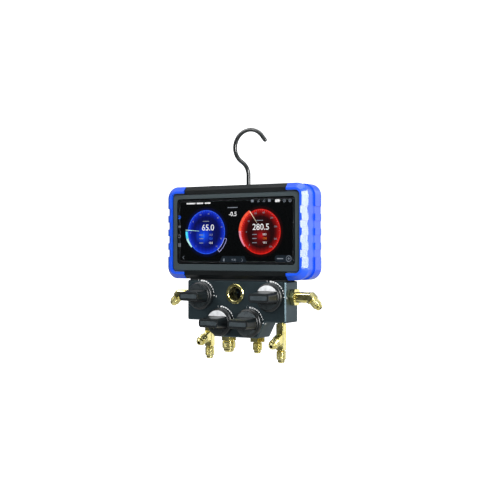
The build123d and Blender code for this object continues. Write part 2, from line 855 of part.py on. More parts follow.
# ---- manifold block ----
with BuildPart() as manifold_block:
    with BuildSketch(across(block_y)):
        with BuildLine():
            Polyline(
                (-block_w / 2, block_top), (block_w / 2, block_top), (block_w / 2, block_bottom),
                (toe_top_w / 2, block_bottom), (toe_low_w / 2, toe_bottom),
                (-toe_low_w / 2, toe_bottom), (-toe_top_w / 2, block_bottom),
                (-block_w / 2, block_bottom), close=True,
            )
        make_face()
    extrude(amount=-block_d)
    fillet(manifold_block.edges().filter_by(Axis.Y), block_corner_r)
    chamfer(manifold_block.faces().sort_by(Axis.Y)[0].edges(), block_edge)
    chamfer(manifold_block.faces().sort_by(Axis.Y)[-1].edges(), block_edge / 2)
    for x, z in valves.values():
        drill((x, block_y, z), (0, 1, 0), gland_bore_r, gland_depth)
        drill((x, block_y, z), (0, 1, 0), shoulder_r + clear_gap, port_depth - stem_r)
    for side in (-1, 1):
        # hose side: the ball's chamber opens to the block's side face
        drill((side * block_w / 2, port_y, upper_z), (-side, 0, 0), chamber_r,
              block_w / 2 - upper_x + seat_out)
        drill((side * (upper_x - seat_in), port_y, upper_z), (-side, 0, 0), gallery_r, upper_x - seat_in)
        # lower valve: the chamber opens downwards and a gallery rises to the common passage
        drill((side * lower_x, port_y, toe_bottom), (0, 0, 1), chamber_r, lower_z + seat_out - toe_bottom)
        drill((side * lower_x, port_y, lower_z), (0, 0, 1), riser_r, upper_z - lower_z)
        # outer bottom port and the slanted passage from it to the hose side
        drill((side * y_port_x, y_port_y, block_bottom), (0, 0, 1), y_shank_r + fit_gap, y_shank_l + 1)
        slant_low = Vector(side * y_port_x, y_port_y, block_bottom + y_shank_l)
        slant_high = Vector(side * sensor_x, port_y, upper_z - chamber_r + 1)
        drill(slant_low, slant_high - slant_low, 2.0, (slant_high - slant_low).length)
        # pressure sensor port and its passage
        drill((side * sensor_x, pedestal_y, block_top), (0, 0, -1), sensor_thread_r + fit_gap,
              sensor_deep + 0.5)
        drill((side * sensor_x, pedestal_y, block_top), (0, 0, -1), sensor_drill_r, upper_drop - 5)
    drill((0, block_y, sight_z), (0, 1, 0), sight_thread_r + fit_gap, sight_seat)
    drill((0, block_y, sight_z), (0, 1, 0), sight_bore_r, port_depth + 2 * gallery_r)
    with BuildSketch(Plane.XY.offset(block_top)):
        with Locations((0, pedestal_y)):
            with GridLocations(neck_screw_pitch, 0, neck_screw_count, 1):
                Circle(neck_screw_r + fit_gap)
    extrude(amount=-(neck_screw_bite + 0.5), mode=Mode.SUBTRACT)
manifold_block.part.label = "manifold_block"
export_step(manifold_block.part, "parts/manifold_block.step")

# ---- pressure sensors ----
with BuildPart() as pressure_sensors:
    for side in (-1, 1):
        foot = (side * sensor_x, pedestal_y, block_top - sensor_deep)
        rise = inner_bottom - block_top + sensor_deep
        turned(foot, (0, 0, 1), [
            (0, 0), (sensor_thread_r, 0), (sensor_thread_r, sensor_deep),
            (sensor_neck_r, sensor_deep), (sensor_neck_r, rise), (sensor_r, rise),
            (sensor_r, rise + sensor_hex_t), (sensor_r - 1, rise + sensor_hex_t),
            (sensor_r - 1, rise + sensor_tall), (0, rise + sensor_tall),
        ])
        drill(foot, (0, 0, 1), sensor_drill_r, sensor_deep)
pressure_sensors.part.label = "pressure_sensors"
export_step(pressure_sensors.part, "parts/pressure_sensors.step")

# ---- sight glass ----
with BuildPart() as sight_ring:
    turned((0, block_y, sight_z), (0, 1, 0), [
        (sight_open_r + 0.4, -sight_ring_t), (sight_ring_r - 0.6, -sight_ring_t),
        (sight_ring_r, 0.6 - sight_ring_t), (sight_ring_r, 0), (sight_thread_r, 0),
        (sight_thread_r, sight_thread_l), (sight_open_r, sight_thread_l),
        (sight_open_r, 0.4 - sight_ring_t),
    ])
sight_ring.part.label = "sight_ring"
export_step(sight_ring.part, "parts/sight_ring.step")

with BuildPart() as sight_glass:
    turned((0, block_y + sight_thread_l, sight_z), (0, 1, 0), [
        (0, 0), (sight_lens_r, 0), (sight_lens_r, sight_lens_t), (0, sight_lens_t),
    ])
sight_glass.part.label = "sight_glass"
export_step(sight_glass.part, "parts/sight_glass.step")

with BuildPart() as sight_seal:
    turned((0, block_y + sight_thread_l + sight_lens_t, sight_z), (0, 1, 0), [
        (sight_bore_r, 0), (sight_lens_r, 0), (sight_lens_r, sight_seal_t),
        (sight_bore_r, sight_seal_t),
    ])
sight_seal.part.label = "sight_seal"
export_step(sight_seal.part, "parts/sight_seal.step")

# ---- fixed pieces of the four valves ----
with BuildPart() as gland_nuts:
    for x, z in valves.values():
        turned((x, block_y, z), (0, 1, 0), [
            (stem_r + run_gap, -gland_proud), (gland_r - 0.8, -gland_proud),
            (gland_r, 0.8 - gland_proud), (gland_r, gland_depth),
            (packing_r + fit_gap, gland_depth), (packing_r + fit_gap, gland_depth - packing_t),
            (stem_r + run_gap, gland_depth - packing_t),
        ])
gland_nuts.part.label = "gland_nuts"
export_step(gland_nuts.part, "parts/gland_nuts.step")

with BuildPart() as stem_packings:
    for x, z in valves.values():
        turned((x, block_y + gland_depth, z), (0, 1, 0), [
            (stem_r + run_gap, -packing_t), (packing_r, -packing_t), (packing_r, -run_gap),
            (stem_r + run_gap, -run_gap),
        ])
stem_packings.part.label = "stem_packings"
export_step(stem_packings.part, "parts/stem_packings.step")

with BuildPart() as valve_seats:
    for name, (x, z) in valves.items():
        flow = (1, 0, 0) if name.startswith("upper") else (0, 0, 1)
        for way in (-1, 1):
            along = tuple(way * part for part in flow)
            turned((x, port_y, z), along, [
                (seat_bore_r, seat_in), (chamber_r - fit_gap, seat_in),
                (chamber_r - fit_gap, seat_out - fit_gap / 2), (seat_bore_r, seat_out - fit_gap / 2),
            ])
        with Locations((x, port_y, z)):
            Sphere(ball_r + run_gap, rotation=(0, 0, 90), mode=Mode.SUBTRACT)
valve_seats.part.label = "valve_seats"
export_step(valve_seats.part, "parts/valve_seats.step")

# ---- moving pieces of each valve: ball, stem, knob, disc and label plate ----
stem_low_y = port_y - ball_r - 0.2
tang_end_y = stem_low_y + tang_l
knob_back_y = block_y - skirt_gap
deck_y = block_y - deck_out
shaft_end_y = block_y - skirt_gap - hub_clear_t - shaft_in_knob
flat_r = stem_r - 0.8
for name, (x, z) in valves.items():
    upper = name.startswith("upper")
    with BuildPart() as ball:
        with Locations((x, port_y, z)):
            Sphere(ball_r)
        passage = (0, 0, 1) if upper else (1, 0, 0)
        start = Vector(x, port_y, z) - Vector(*passage) * ball_r
        drill(start, passage, ball_bore_r, 2 * ball_r)
        slot_w = tang_w + 2 * slot_gap
        with Locations((x, tang_end_y + slot_gap - ball_r, z)):
            if upper:
                Box(3 * ball_r, 2 * ball_r, slot_w, mode=Mode.SUBTRACT)
            else:
                Box(slot_w, 2 * ball_r, 3 * ball_r, mode=Mode.SUBTRACT)
    ball.part.label = f"ball_{name}"
    export_step(ball.part, f"parts/ball_{name}.step")

    with BuildPart() as stem:
        turned((x, shaft_end_y, z), (0, 1, 0), [
            (0, 0), (stem_r - 0.4, 0), (stem_r, 0.4),
            (stem_r, block_y + gland_depth + run_gap - shaft_end_y),
            (shoulder_r, block_y + gland_depth + run_gap - shaft_end_y),
            (shoulder_r, block_y + gland_depth + run_gap + shoulder_t - shaft_end_y),
            (stem_r, block_y + gland_depth + run_gap + shoulder_t - shaft_end_y),
            (stem_r, stem_low_y - shaft_end_y), (0, stem_low_y - shaft_end_y),
        ])
        with Locations((x, (stem_low_y + tang_end_y) / 2, z)):
            if upper:
                Box(1.8 * stem_r, tang_end_y - stem_low_y, tang_w)
            else:
                Box(tang_w, tang_end_y - stem_low_y, 1.8 * stem_r)
        with Locations((x, shaft_end_y, z + flat_r + stem_r)):
            Box(4 * stem_r, 2 * shaft_in_knob, 2 * stem_r, mode=Mode.SUBTRACT)
    stem.part.label = f"stem_{name}"
    export_step(stem.part, f"parts/stem_{name}.step")

    with BuildPart() as knob:
        turned((x, block_y, z), (0, -1, 0), [
            (0, skirt_gap), (skirt_r, skirt_gap), (skirt_r, skirt_out - 0.7),
            (skirt_r - 0.7, skirt_out), (deck_r, skirt_out + 0.3), (deck_r, deck_out - 0.4),
            (deck_r - 0.4, deck_out), (0, deck_out),
        ])
        with BuildSketch(across(deck_y + bar_root)) as bar_base:
            with Locations((x, z)):
                RectangleRounded(bar_l, bar_base_h, 4.6)
        with BuildSketch(across(block_y - bar_out)) as bar_face:
            with Locations((x, z)):
                RectangleRounded(bar_l - 0.8, bar_front_h, 3.6)
        loft(sections=[bar_base.sketch.faces()[0], bar_face.sketch.faces()[0]])
        fillet(knob.faces().sort_by(Axis.Y)[0].edges(), 1.2)
        with BuildSketch(across(block_y - bar_out)):
            with Locations((x + label_shift, z)):
                RectangleRounded(label_w + 2 * fit_gap, label_h + 2 * fit_gap, 1.0 + fit_gap)
        extrude(amount=-label_t, mode=Mode.SUBTRACT)
        drill((x, knob_back_y, z), (0, -1, 0), hub_clear_r, hub_clear_t)
        with BuildSketch(across(knob_back_y - hub_clear_t)):
            with Locations((x, z)):
                Circle(stem_r + fit_gap)
                with Locations((0, flat_r + fit_gap + stem_r)):
                    Rectangle(4 * stem_r, 2 * stem_r, mode=Mode.SUBTRACT)
        extrude(amount=shaft_in_knob + 0.5, mode=Mode.SUBTRACT)
    knob.part.label = f"knob_{name}"
    export_step(knob.part, f"parts/knob_{name}.step")

    with BuildPart() as disc:
        with BuildSketch(across(deck_y)):
            with Locations((x, z)):
                Circle(disc_r)
                Rectangle(3 * disc_r, bar_base_h + 2 * clear_gap, mode=Mode.SUBTRACT)
        extrude(amount=disc_t)
    disc.part.label = f"disc_{name}"
    export_step(disc.part, f"parts/disc_{name}.step")

    with BuildPart() as label_plate:
        with BuildSketch(across(block_y - bar_out + label_t)):
            with Locations((x + label_shift, z)):
                RectangleRounded(label_w, label_h, 1.0)
        extrude(amount=label_t)
    label_plate.part.label = f"label_plate_{name}"
    export_step(label_plate.part, f"parts/label_plate_{name}.step")

# ---- straight flare ports under the lower valves ----
ports = {
    "port_3_8": (-lower_x, flare6_r, thread6_l, flare6_nose_r, flare6_tip_r, flare6_bore_r),
    "port_1_4": (lower_x, flare4_r, thread4_l, flare4_nose_r, flare4_tip_r, flare4_bore_r),
}
for name, (x, thread_r, thread_l, nose_r, tip_r, bore_r) in ports.items():
    with BuildPart() as port:
        seat_z = lower_z - seat_out
        turned((x, port_y, seat_z), (0, 0, -1), [
            (0, 0), (shank_r, 0), (shank_r, seat_z - toe_bottom + washer_t),
            (0, seat_z - toe_bottom + washer_t),
        ])
        with BuildSketch(Plane.XY.offset(toe_bottom - washer_t)):
            with Locations((x, port_y)):
                RegularPolygon(hex_af / 2, 6, major_radius=False)
        extrude(amount=-(hex_t - washer_t))
        reach = flare((x, port_y, toe_bottom - hex_t), (0, 0, -1), thread_r, thread_l, nose_r, tip_r)
        drill((x, port_y, seat_z), (0, 0, -1), bore_r, seat_z - toe_bottom + hex_t + reach)
    port.part.label = name
    export_step(port.part, f"parts/{name}.step")

# ---- elbows on both sides, turned 45 degrees down ----
slope = sqrt(0.5)
for side, name in ((-1, "elbow_left"), (1, "elbow_right")):
    with BuildPart() as elbow:
        inner_x = upper_x + seat_out
        face_x = block_w / 2
        relief = sensor_x - inner_x
        turned((side * inner_x, port_y, upper_z), (side, 0, 0), [
            (0, 0), (shank_r, 0), (shank_r, relief - 2), (shank_r - 1.5, relief - 2),
            (shank_r - 1.5, relief + 2), (shank_r, relief + 2), (shank_r, face_x - inner_x + washer_t),
            (0, face_x - inner_x + washer_t),
        ])
        flange_x = face_x + washer_t
        with BuildSketch(Plane.YZ.offset(side * flange_x)):
            with Locations((port_y, upper_z)):
                RegularPolygon(elbow_flange_r, 6, major_radius=False)
        extrude(amount=side * elbow_flange_t)
        body_x = flange_x + elbow_flange_t
        leg_end = Vector(
            side * (elbow_bend_x + elbow_leg * slope), port_y, upper_z - elbow_leg * slope
        )
        with BuildLine():
            spine = Polyline(
                (side * (body_x - 1), port_y, upper_z), (side * elbow_bend_x, port_y, upper_z), leg_end,
            )
        with BuildSketch(Plane(origin=spine @ 0, x_dir=(0, 1, 0), z_dir=(side, 0, 0))):
            RectangleRounded(2 * elbow_body_r, 2 * elbow_body_r, 3.4)
        sweep(path=spine, transition=Transition.RIGHT)
        along = (side * slope, 0, -slope)
        reach = flare(leg_end, along, flare4_r, elbow_thread_l, flare4_nose_r, flare4_tip_r)
        drill((side * inner_x, port_y, upper_z), (side, 0, 0), flare4_bore_r, elbow_bend_x - inner_x)
        bend = (side * elbow_bend_x, port_y, upper_z)
        with Locations(bend):
            Sphere(flare4_bore_r + 0.5, mode=Mode.SUBTRACT)
        drill(bend, along, flare4_bore_r, elbow_leg + reach)
        drill((side * sensor_x, port_y, upper_z), (0, 0, 1), 1.5, shank_r)
        drill((side * sensor_x, port_y, upper_z), (0, 0, -1), 1.5, shank_r)
    elbow.part.label = name
    export_step(elbow.part, f"parts/{name}.step")

# ---- Y fittings at the outer bottom ports ----
branch_dir = (0, -cos(radians(y_branch_angle)), -sin(radians(y_branch_angle)))
for side, name in ((-1, "y_fitting_left"), (1, "y_fitting_right")):
    x = side * y_port_x
    bar_top = block_bottom - y_gap
    bar_low = bar_top - y_bar_l
    with BuildPart() as y_fitting:
        turned((x, y_port_y, block_bottom + y_shank_l), (0, 0, -1), [
            (0, 0), (y_shank_r, 0), (y_shank_r, y_shank_l + washer_t),
            (y_shank_r - 1.4, y_shank_l + washer_t), (y_shank_r - 1.4, y_shank_l + y_gap + 0.1),
            (0, y_shank_l + y_gap + 0.1),
        ])
        with BuildSketch(Plane.XY.offset(bar_top)):
            with Locations((x, y_port_y)):
                RectangleRounded(y_bar, y_bar, 1.4)
        extrude(amount=-y_bar_l)
        branch_start = (x, y_port_y, bar_top - y_branch_drop)
        with BuildSketch(Plane(origin=branch_start, x_dir=(1, 0, 0), z_dir=branch_dir)):
            RectangleRounded(y_bar - 2 * y_hub_inset, y_hub_h, 1.4)
        extrude(amount=y_hub_l)
        branch_at = Vector(*branch_start) + Vector(*branch_dir) * y_hub_l
        side_reach = flare(branch_at, branch_dir, flare4_r, thread4_l, flare4_nose_r, flare4_tip_r)
        low_reach = flare(
            (x, y_port_y, bar_low), (0, 0, -1), flare4_r, thread_y_l, flare4_nose_r, flare4_tip_r
        )
        drill((x, y_port_y, block_bottom + y_shank_l), (0, 0, -1), flare4_bore_r,
              y_shank_l + y_gap + y_bar_l + low_reach)
        drill(branch_start, branch_dir, y_branch_bore_r, y_hub_l + side_reach)
    y_fitting.part.label = name
    export_step(y_fitting.part, f"parts/{name}.step")

# ---- washers under every fitting ----
with BuildPart() as port_washers:
    for side in (-1, 1):
        turned((side * lower_x, port_y, toe_bottom), (0, 0, -1), [
            (shank_r + fit_gap, 0), (hex_af / 2, 0), (hex_af / 2, washer_t),
            (shank_r + fit_gap, washer_t),
        ])
        turned((side * block_w / 2, port_y, upper_z), (side, 0, 0), [
            (shank_r + fit_gap, 0), (hex_af / 2, 0), (hex_af / 2, washer_t),
            (shank_r + fit_gap, washer_t),
        ])
        turned((side * y_port_x, y_port_y, block_bottom), (0, 0, -1), [
            (y_shank_r + fit_gap, 0), (y_washer_r, 0), (y_washer_r, washer_t),
            (y_shank_r + fit_gap, washer_t),
        ])
port_washers.part.label = "port_washers"
export_step(port_washers.part, "parts/port_washers.step")
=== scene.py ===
import math

import bmesh
import bpy
from mathutils import Matrix, Vector


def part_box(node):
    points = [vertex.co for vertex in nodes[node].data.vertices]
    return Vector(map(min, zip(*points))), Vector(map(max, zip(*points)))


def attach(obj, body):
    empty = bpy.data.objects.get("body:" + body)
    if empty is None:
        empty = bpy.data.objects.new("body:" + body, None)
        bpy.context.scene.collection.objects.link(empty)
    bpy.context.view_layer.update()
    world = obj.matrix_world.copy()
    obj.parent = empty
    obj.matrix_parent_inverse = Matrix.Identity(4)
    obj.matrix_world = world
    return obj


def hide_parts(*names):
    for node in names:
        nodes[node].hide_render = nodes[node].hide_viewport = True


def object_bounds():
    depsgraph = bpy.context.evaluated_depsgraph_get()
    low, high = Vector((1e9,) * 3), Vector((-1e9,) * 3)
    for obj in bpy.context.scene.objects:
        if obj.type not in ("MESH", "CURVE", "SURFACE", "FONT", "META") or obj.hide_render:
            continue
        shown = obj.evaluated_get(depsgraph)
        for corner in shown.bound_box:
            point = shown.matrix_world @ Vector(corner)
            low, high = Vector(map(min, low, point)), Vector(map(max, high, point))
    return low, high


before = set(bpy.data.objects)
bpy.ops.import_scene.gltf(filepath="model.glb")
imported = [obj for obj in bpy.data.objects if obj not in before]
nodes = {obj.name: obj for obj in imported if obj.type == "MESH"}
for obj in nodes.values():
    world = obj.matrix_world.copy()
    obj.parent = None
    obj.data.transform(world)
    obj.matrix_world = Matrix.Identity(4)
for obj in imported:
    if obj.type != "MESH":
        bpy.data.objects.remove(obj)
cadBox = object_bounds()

mm = 0.001
softEdge = 0.2 * mm  # radius that every edge seems rounded to
noiseSpread = {"From Min": 0.3, "From Max": 0.7}  # where most values of a noise lie
valveNames = ["upper_left", "upper_right", "lower_left", "lower_right"]


# helpers
def linearColour(hexColour):
    channels = [int(hexColour[i:i + 2], 16) / 255 for i in (1, 3, 5)]
    linear = [c / 12.92 if c <= 0.04045 else ((c + 0.055) / 1.055) ** 2.4 for c in channels]
    return (*linear, 1.0)


def addNode(tree, kind, settings=None, values=None, links=None):
    node = tree.nodes.new(kind)
    for name, value in (settings or {}).items():
        setattr(node, name, value)
    for name, value in (values or {}).items():
        node.inputs[name].default_value = value
    for name, source in (links or {}).items():
        tree.links.new(source, node.inputs[name])
    return node


def perMetre(sizeMm):
    # texture scale that repeats once in the given size
    return 1 / (sizeMm * mm)


def stripeScale(sizeMm):
    # wave texture scale for stripes of the given size
    return perMetre(sizeMm) / 20


def dimmed(hexColour, share):
    return "#" + "".join(f"{int(int(hexColour[i:i + 2], 16) * share):02X}" for i in (1, 3, 5))


def colourRamp(tree, source, stops):
    ramp = addNode(tree, "ShaderNodeValToRGB", links={"Fac": source})
    elements = ramp.color_ramp.elements
    while len(elements) < len(stops):
        elements.new(0.5)
    for element, (position, hexColour) in zip(elements, stops):
        element.position = position
        element.color = linearColour(hexColour)
    return ramp.outputs["Color"]


def newMaterial(name, shaderValues):
    material = bpy.data.materials.new(name)
    material.use_nodes = True
    tree = material.node_tree
    tree.nodes.clear()
    shader = addNode(tree, "ShaderNodeBsdfPrincipled", values=shaderValues)
    addNode(tree, "ShaderNodeOutputMaterial", links={"Surface": shader.outputs["BSDF"]})
    place = addNode(tree, "ShaderNodeTexCoord").outputs["Object"]
    return material, tree, shader, place


def mottled(material, tree, shader, place, finish):
    # grain, broad colour drift, a roughness that follows the grain, and softened edges
    grain = addNode(tree, "ShaderNodeTexNoise", values={
        "Scale": perMetre(finish["grainMm"]), "Detail": 4.0, "Roughness": 0.6,
    }, links={"Vector": place})
    drift = addNode(tree, "ShaderNodeTexNoise", values={
        "Scale": perMetre(finish["driftMm"]), "Detail": 3.0,
    }, links={"Vector": place})
    colour = colourRamp(tree, drift.outputs["Fac"], [(0.3, finish["dark"]), (0.7, finish["light"])])
    tree.links.new(colour, shader.inputs["Base Color"])
    low, high = finish["roughness"]
    rough = addNode(tree, "ShaderNodeMapRange", values={
        **noiseSpread, "To Min": low, "To Max": high,
    }, links={"Value": grain.outputs["Fac"]})
    tree.links.new(rough.outputs["Result"], shader.inputs["Roughness"])
    edge = addNode(tree, "ShaderNodeBevel", {"samples": 4}, {"Radius": softEdge})
    bump = addNode(tree, "ShaderNodeBump", values={
        "Strength": finish["bump"], "Distance": finish["depthMm"] * mm,
    }, links={"Height": grain.outputs["Fac"], "Normal": edge.outputs["Normal"]})
    tree.links.new(bump.outputs["Normal"], shader.inputs["Normal"])
    return material


def surface(name, finish, shaderValues):
    return mottled(*newMaterial(name, shaderValues), finish)


# materials
# thermoplastic elastomer, injection moulded: satin skin with a soft broad highlight
bumperElastomer = surface("bumperElastomer", {
    "dark": "#0644D2", "light": "#0B54E2", "grainMm": 0.7, "driftMm": 40,
    "roughness": (0.34, 0.44), "bump": 0.06, "depthMm": 0.04,
}, {"IOR": 1.45, "Coat Weight": 0.6, "Coat Roughness": 0.13})
# ABS, spark eroded mould: fine even grain, semi-matt
texturedAbs = surface("texturedAbs", {
    "dark": "#2F3A3D", "light": "#354043", "grainMm": 0.5, "driftMm": 60,
    "roughness": (0.3, 0.4), "bump": 0.15, "depthMm": 0.05,
}, {"IOR": 1.54, "Coat Weight": 0.5, "Coat Roughness": 0.22})
# ABS, smoother mould: satin trim
satinAbs = surface("satinAbs", {
    "dark": "#080B0C", "light": "#0F1314", "grainMm": 0.6, "driftMm": 35,
    "roughness": (0.28, 0.38), "bump": 0.06, "depthMm": 0.04,
}, {"IOR": 1.54, "Specular IOR Level": 0.25})
# glass filled nylon, moulded: dark grips with a fine grain
mouldedNylon = surface("mouldedNylon", {
    "dark": "#0A0E0F", "light": "#13191B", "grainMm": 0.45, "driftMm": 18,
    "roughness": (0.3, 0.4), "bump": 0.12, "depthMm": 0.04,
}, {"IOR": 1.53})
# aluminium, bead blasted and anodised grey: fine sparkle, broad soft reflections
anodisedAluminium = surface("anodisedAluminium", {
    "dark": "#3C494E", "light": "#455358", "grainMm": 0.4, "driftMm": 25,
    "roughness": (0.3, 0.42), "bump": 0.2, "depthMm": 0.03,
}, {"Metallic": 0.9})
# silicone rubber: matt, slightly dusty
siliconeRubber = surface("siliconeRubber", {
    "dark": "#101213", "light": "#1B1E20", "grainMm": 0.8, "driftMm": 12,
    "roughness": (0.6, 0.75), "bump": 0.2, "depthMm": 0.05,
}, {"IOR": 1.43})
# polycarbonate plate, printed dark from behind
darkPlate = surface("darkPlate", {
    "dark": "#30373A", "light": "#434B4F", "grainMm": 0.6, "driftMm": 10,
    "roughness": (0.18, 0.28), "bump": 0.05, "depthMm": 0.02,
}, {"IOR": 1.58, "Coat Weight": 0.4, "Coat Roughness": 0.08})
# steel rod, black oxide and lacquer: dark with long thin highlights
blackedSteel = surface("blackedSteel", {
    "dark": "#0B0E0E", "light": "#171C1B", "grainMm": 0.9, "driftMm": 14,
    "roughness": (0.18, 0.26), "bump": 0.02, "depthMm": 0.02,
}, {"IOR": 1.5, "Coat Weight": 0.8, "Coat Roughness": 0.12})
# zinc plated steel: pale, slightly blue, fine scratches
zincSteel = surface("zincSteel", {
    "dark": "#A7ABB0", "light": "#C9CDD2", "grainMm": 0.3, "driftMm": 6,
    "roughness": (0.22, 0.4), "bump": 0.1, "depthMm": 0.02,
}, {"Metallic": 1.0})
# steel ball under hard chrome: near mirror
chromedBall = surface("chromedBall", {
    "dark": "#D6D8DA", "light": "#ECEEEF", "grainMm": 0.4, "driftMm": 8,
    "roughness": (0.05, 0.12), "bump": 0.02, "depthMm": 0.01,
}, {"Metallic": 1.0})
# PTFE: waxy white
sinteredPtfe = surface("sinteredPtfe", {
    "dark": "#E4E3DC", "light": "#F3F2EC", "grainMm": 0.5, "driftMm": 8,
    "roughness": (0.4, 0.52), "bump": 0.08, "depthMm": 0.02,
}, {"IOR": 1.38})
# nylon washer, natural
naturalNylon = surface("naturalNylon", {
    "dark": "#C9C2A6", "light": "#DAD4BC", "grainMm": 0.5, "driftMm": 6,
    "roughness": (0.35, 0.5), "bump": 0.08, "depthMm": 0.02,
}, {"IOR": 1.53})
# solder mask over glass fibre: green, faint weave
solderMask = surface("solderMask", {
    "dark": "#0D4A22", "light": "#176332", "grainMm": 0.8, "driftMm": 20,
    "roughness": (0.25, 0.35), "bump": 0.15, "depthMm": 0.03,
}, {"IOR": 1.5})
# PVC shrink wrap over the cells
shrinkWrap = surface("shrinkWrap", {
    "dark": "#1D4E9E", "light": "#2B62B8", "grainMm": 1.2, "driftMm": 20,
    "roughness": (0.2, 0.3), "bump": 0.2, "depthMm": 0.08,
}, {"IOR": 1.52})


def turnedBrass():
    # free cutting brass, turned: bright, with fine lathe rings and a thin tarnish
    material, tree, shader, place = newMaterial("turnedBrass", {"Metallic": 1.0})
    tarnish = addNode(tree, "ShaderNodeTexNoise", values={
        "Scale": perMetre(7), "Detail": 5.0, "Roughness": 0.65,
    }, links={"Vector": place})
    colour = colourRamp(tree, tarnish.outputs["Fac"], [(0.32, "#D8C766"), (0.6, "#F5ECAA")])
    tree.links.new(colour, shader.inputs["Base Color"])
    rings = addNode(tree, "ShaderNodeTexWave", {"bands_direction": "Z"}, {
        "Scale": stripeScale(0.5), "Distortion": 0.4,
    }, {"Vector": place})
    rough = addNode(tree, "ShaderNodeMapRange", values={
        **noiseSpread, "To Min": 0.14, "To Max": 0.24,
    }, links={"Value": tarnish.outputs["Fac"]})
    tree.links.new(rough.outputs["Result"], shader.inputs["Roughness"])
    edge = addNode(tree, "ShaderNodeBevel", {"samples": 4}, {"Radius": softEdge})
    bump = addNode(tree, "ShaderNodeBump", values={"Strength": 0.08, "Distance": 0.03 * mm},
                   links={"Height": rings.outputs["Fac"], "Normal": edge.outputs["Normal"]})
    tree.links.new(bump.outputs["Normal"], shader.inputs["Normal"])
    return material


def floatGlass(name, tint, wiped):
    # chemically strengthened glass: clear and sharp, faintly tinted where it was wiped
    material, tree, shader, place = newMaterial(name, {
        "Transmission Weight": 1.0, "IOR": 1.5, "Roughness": 0.0,
    })
    smear = addNode(tree, "ShaderNodeTexNoise", values={
        "Scale": perMetre(30), "Detail": 3.0, "Distortion": 0.6,
    }, links={"Vector": place})
    colour = colourRamp(tree, smear.outputs["Fac"], [(0.45, tint), (0.75, wiped)])
    tree.links.new(colour, shader.inputs["Base Color"])
    return material


def litInk(name, hexColour, strength):
    # lit pixels: flat colour with the faint grid of the panel, drawn at 0.7 mm so that it shows
    material, tree, shader, place = newMaterial(name, {
        "Base Color": (0.0, 0.0, 0.0, 1.0), "Roughness": 0.6, "Emission Strength": strength,
        "Specular IOR Level": 0.0,
    })
    grid = addNode(tree, "ShaderNodeTexWave", {"bands_direction": "DIAGONAL"}, {
        "Scale": stripeScale(0.7),
    }, {"Vector": place})
    stops = [(0.0, dimmed(hexColour, 0.9)), (0.5, hexColour)]
    colour = colourRamp(tree, grid.outputs["Fac"], stops)
    tree.links.new(colour, shader.inputs["Emission Color"])
    return material


def paintedReflectionFilm(valveName, litUpperHex, shadedLowerHex):
    # film under a clear lacquer, satin insert, split at the bar: the upper half has a painted
    # reflection tone and the lower half has painted shade from the bar
    material, tree, shader, place = newMaterial("paintedReflectionFilm_" + valveName, {
        "IOR": 1.5, "Coat Weight": 0.5, "Coat Roughness": 0.1,
    })
    low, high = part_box("disc_" + valveName)
    height = addNode(tree, "ShaderNodeSeparateXYZ", links={"Vector": place})
    # mask of the upper half, which takes the painted reflection tone; the lower half takes the
    # painted shade tone
    litHalfMask = addNode(tree, "ShaderNodeMath", {"operation": "GREATER_THAN"},
                    links={0: height.outputs["Z"]})
    litHalfMask.inputs[1].default_value = (low.z + high.z) / 2
    grain = addNode(tree, "ShaderNodeTexNoise", values={"Scale": perMetre(6), "Detail": 4.0},
                    links={"Vector": place})
    tones = []
    for tone in (shadedLowerHex, litUpperHex):
        worn = dimmed(tone, 0.88)
        tones.append(colourRamp(tree, grain.outputs["Fac"], [(0.35, worn), (0.65, tone)]))
    both = addNode(tree, "ShaderNodeMix", {"data_type": "RGBA"},
                   links={0: litHalfMask.outputs["Value"], 6: tones[0], 7: tones[1]})
    tree.links.new(both.outputs[2], shader.inputs["Base Color"])
    rough = addNode(tree, "ShaderNodeMapRange", values={"To Min": 0.22, "To Max": 0.34},
                    links={"Value": grain.outputs["Fac"]})
    tree.links.new(rough.outputs["Result"], shader.inputs["Roughness"])
    return material


brass = turnedBrass()
coverGlassClear = floatGlass("coverGlassClear", "#FDFEFF", "#F6F9FB")
sightGlassClear = floatGlass("sightGlassClear", "#E9EFED", "#DDE4E1")

# the lit panel
glassLow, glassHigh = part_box("display_glass")
screen = {
    "centre": ((glassLow.x + glassHigh.x) / 2, (glassLow.z + glassHigh.z) / 2),
    "blueDial": (-39.6, -0.9), "redDial": (35.6, -1.1), "dialRadius": 26.2,
    "layerStep": 0.05, "layerDepth": 0.03, "gridMm": 0.8,
}
glows = {  # place of the middle, radius that the stops span, and the stops
    "blueRing": {"place": screen["blueDial"], "span": 36, "stops": [
        (0.0, "#0A2A9E"), (0.3, "#060F58"), (0.5, "#050C52"), (0.6, "#091C96"),
        (0.7, "#1636D8"), (0.725, "#1A42EA"), (0.745, "#04093A"), (0.85, "#000000"),
    ]},
    "blueSpot": {"place": (-44.5, -5.5), "span": 17, "stops": [
        (0.0, "#2A7BFF"), (0.25, "#103FC8"), (0.6, "#04126A"), (1.0, "#000000"),
    ]},
    "redRing": {"place": screen["redDial"], "span": 36, "stops": [
        (0.0, "#4A080A"), (0.3, "#260405"), (0.5, "#2A0405"), (0.6, "#720A0A"),
        (0.7, "#C0140F"), (0.725, "#DC1C12"), (0.745, "#2C0303"), (0.85, "#000000"),
    ]},
    "redSpot": {"place": (36, -6), "span": 13, "stops": [
        (0.0, "#C01518"), (0.4, "#5A080A"), (1.0, "#000000"),
    ]},
}
screenX, screenZ = screen["centre"]
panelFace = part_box("lcd_panel")[0].y


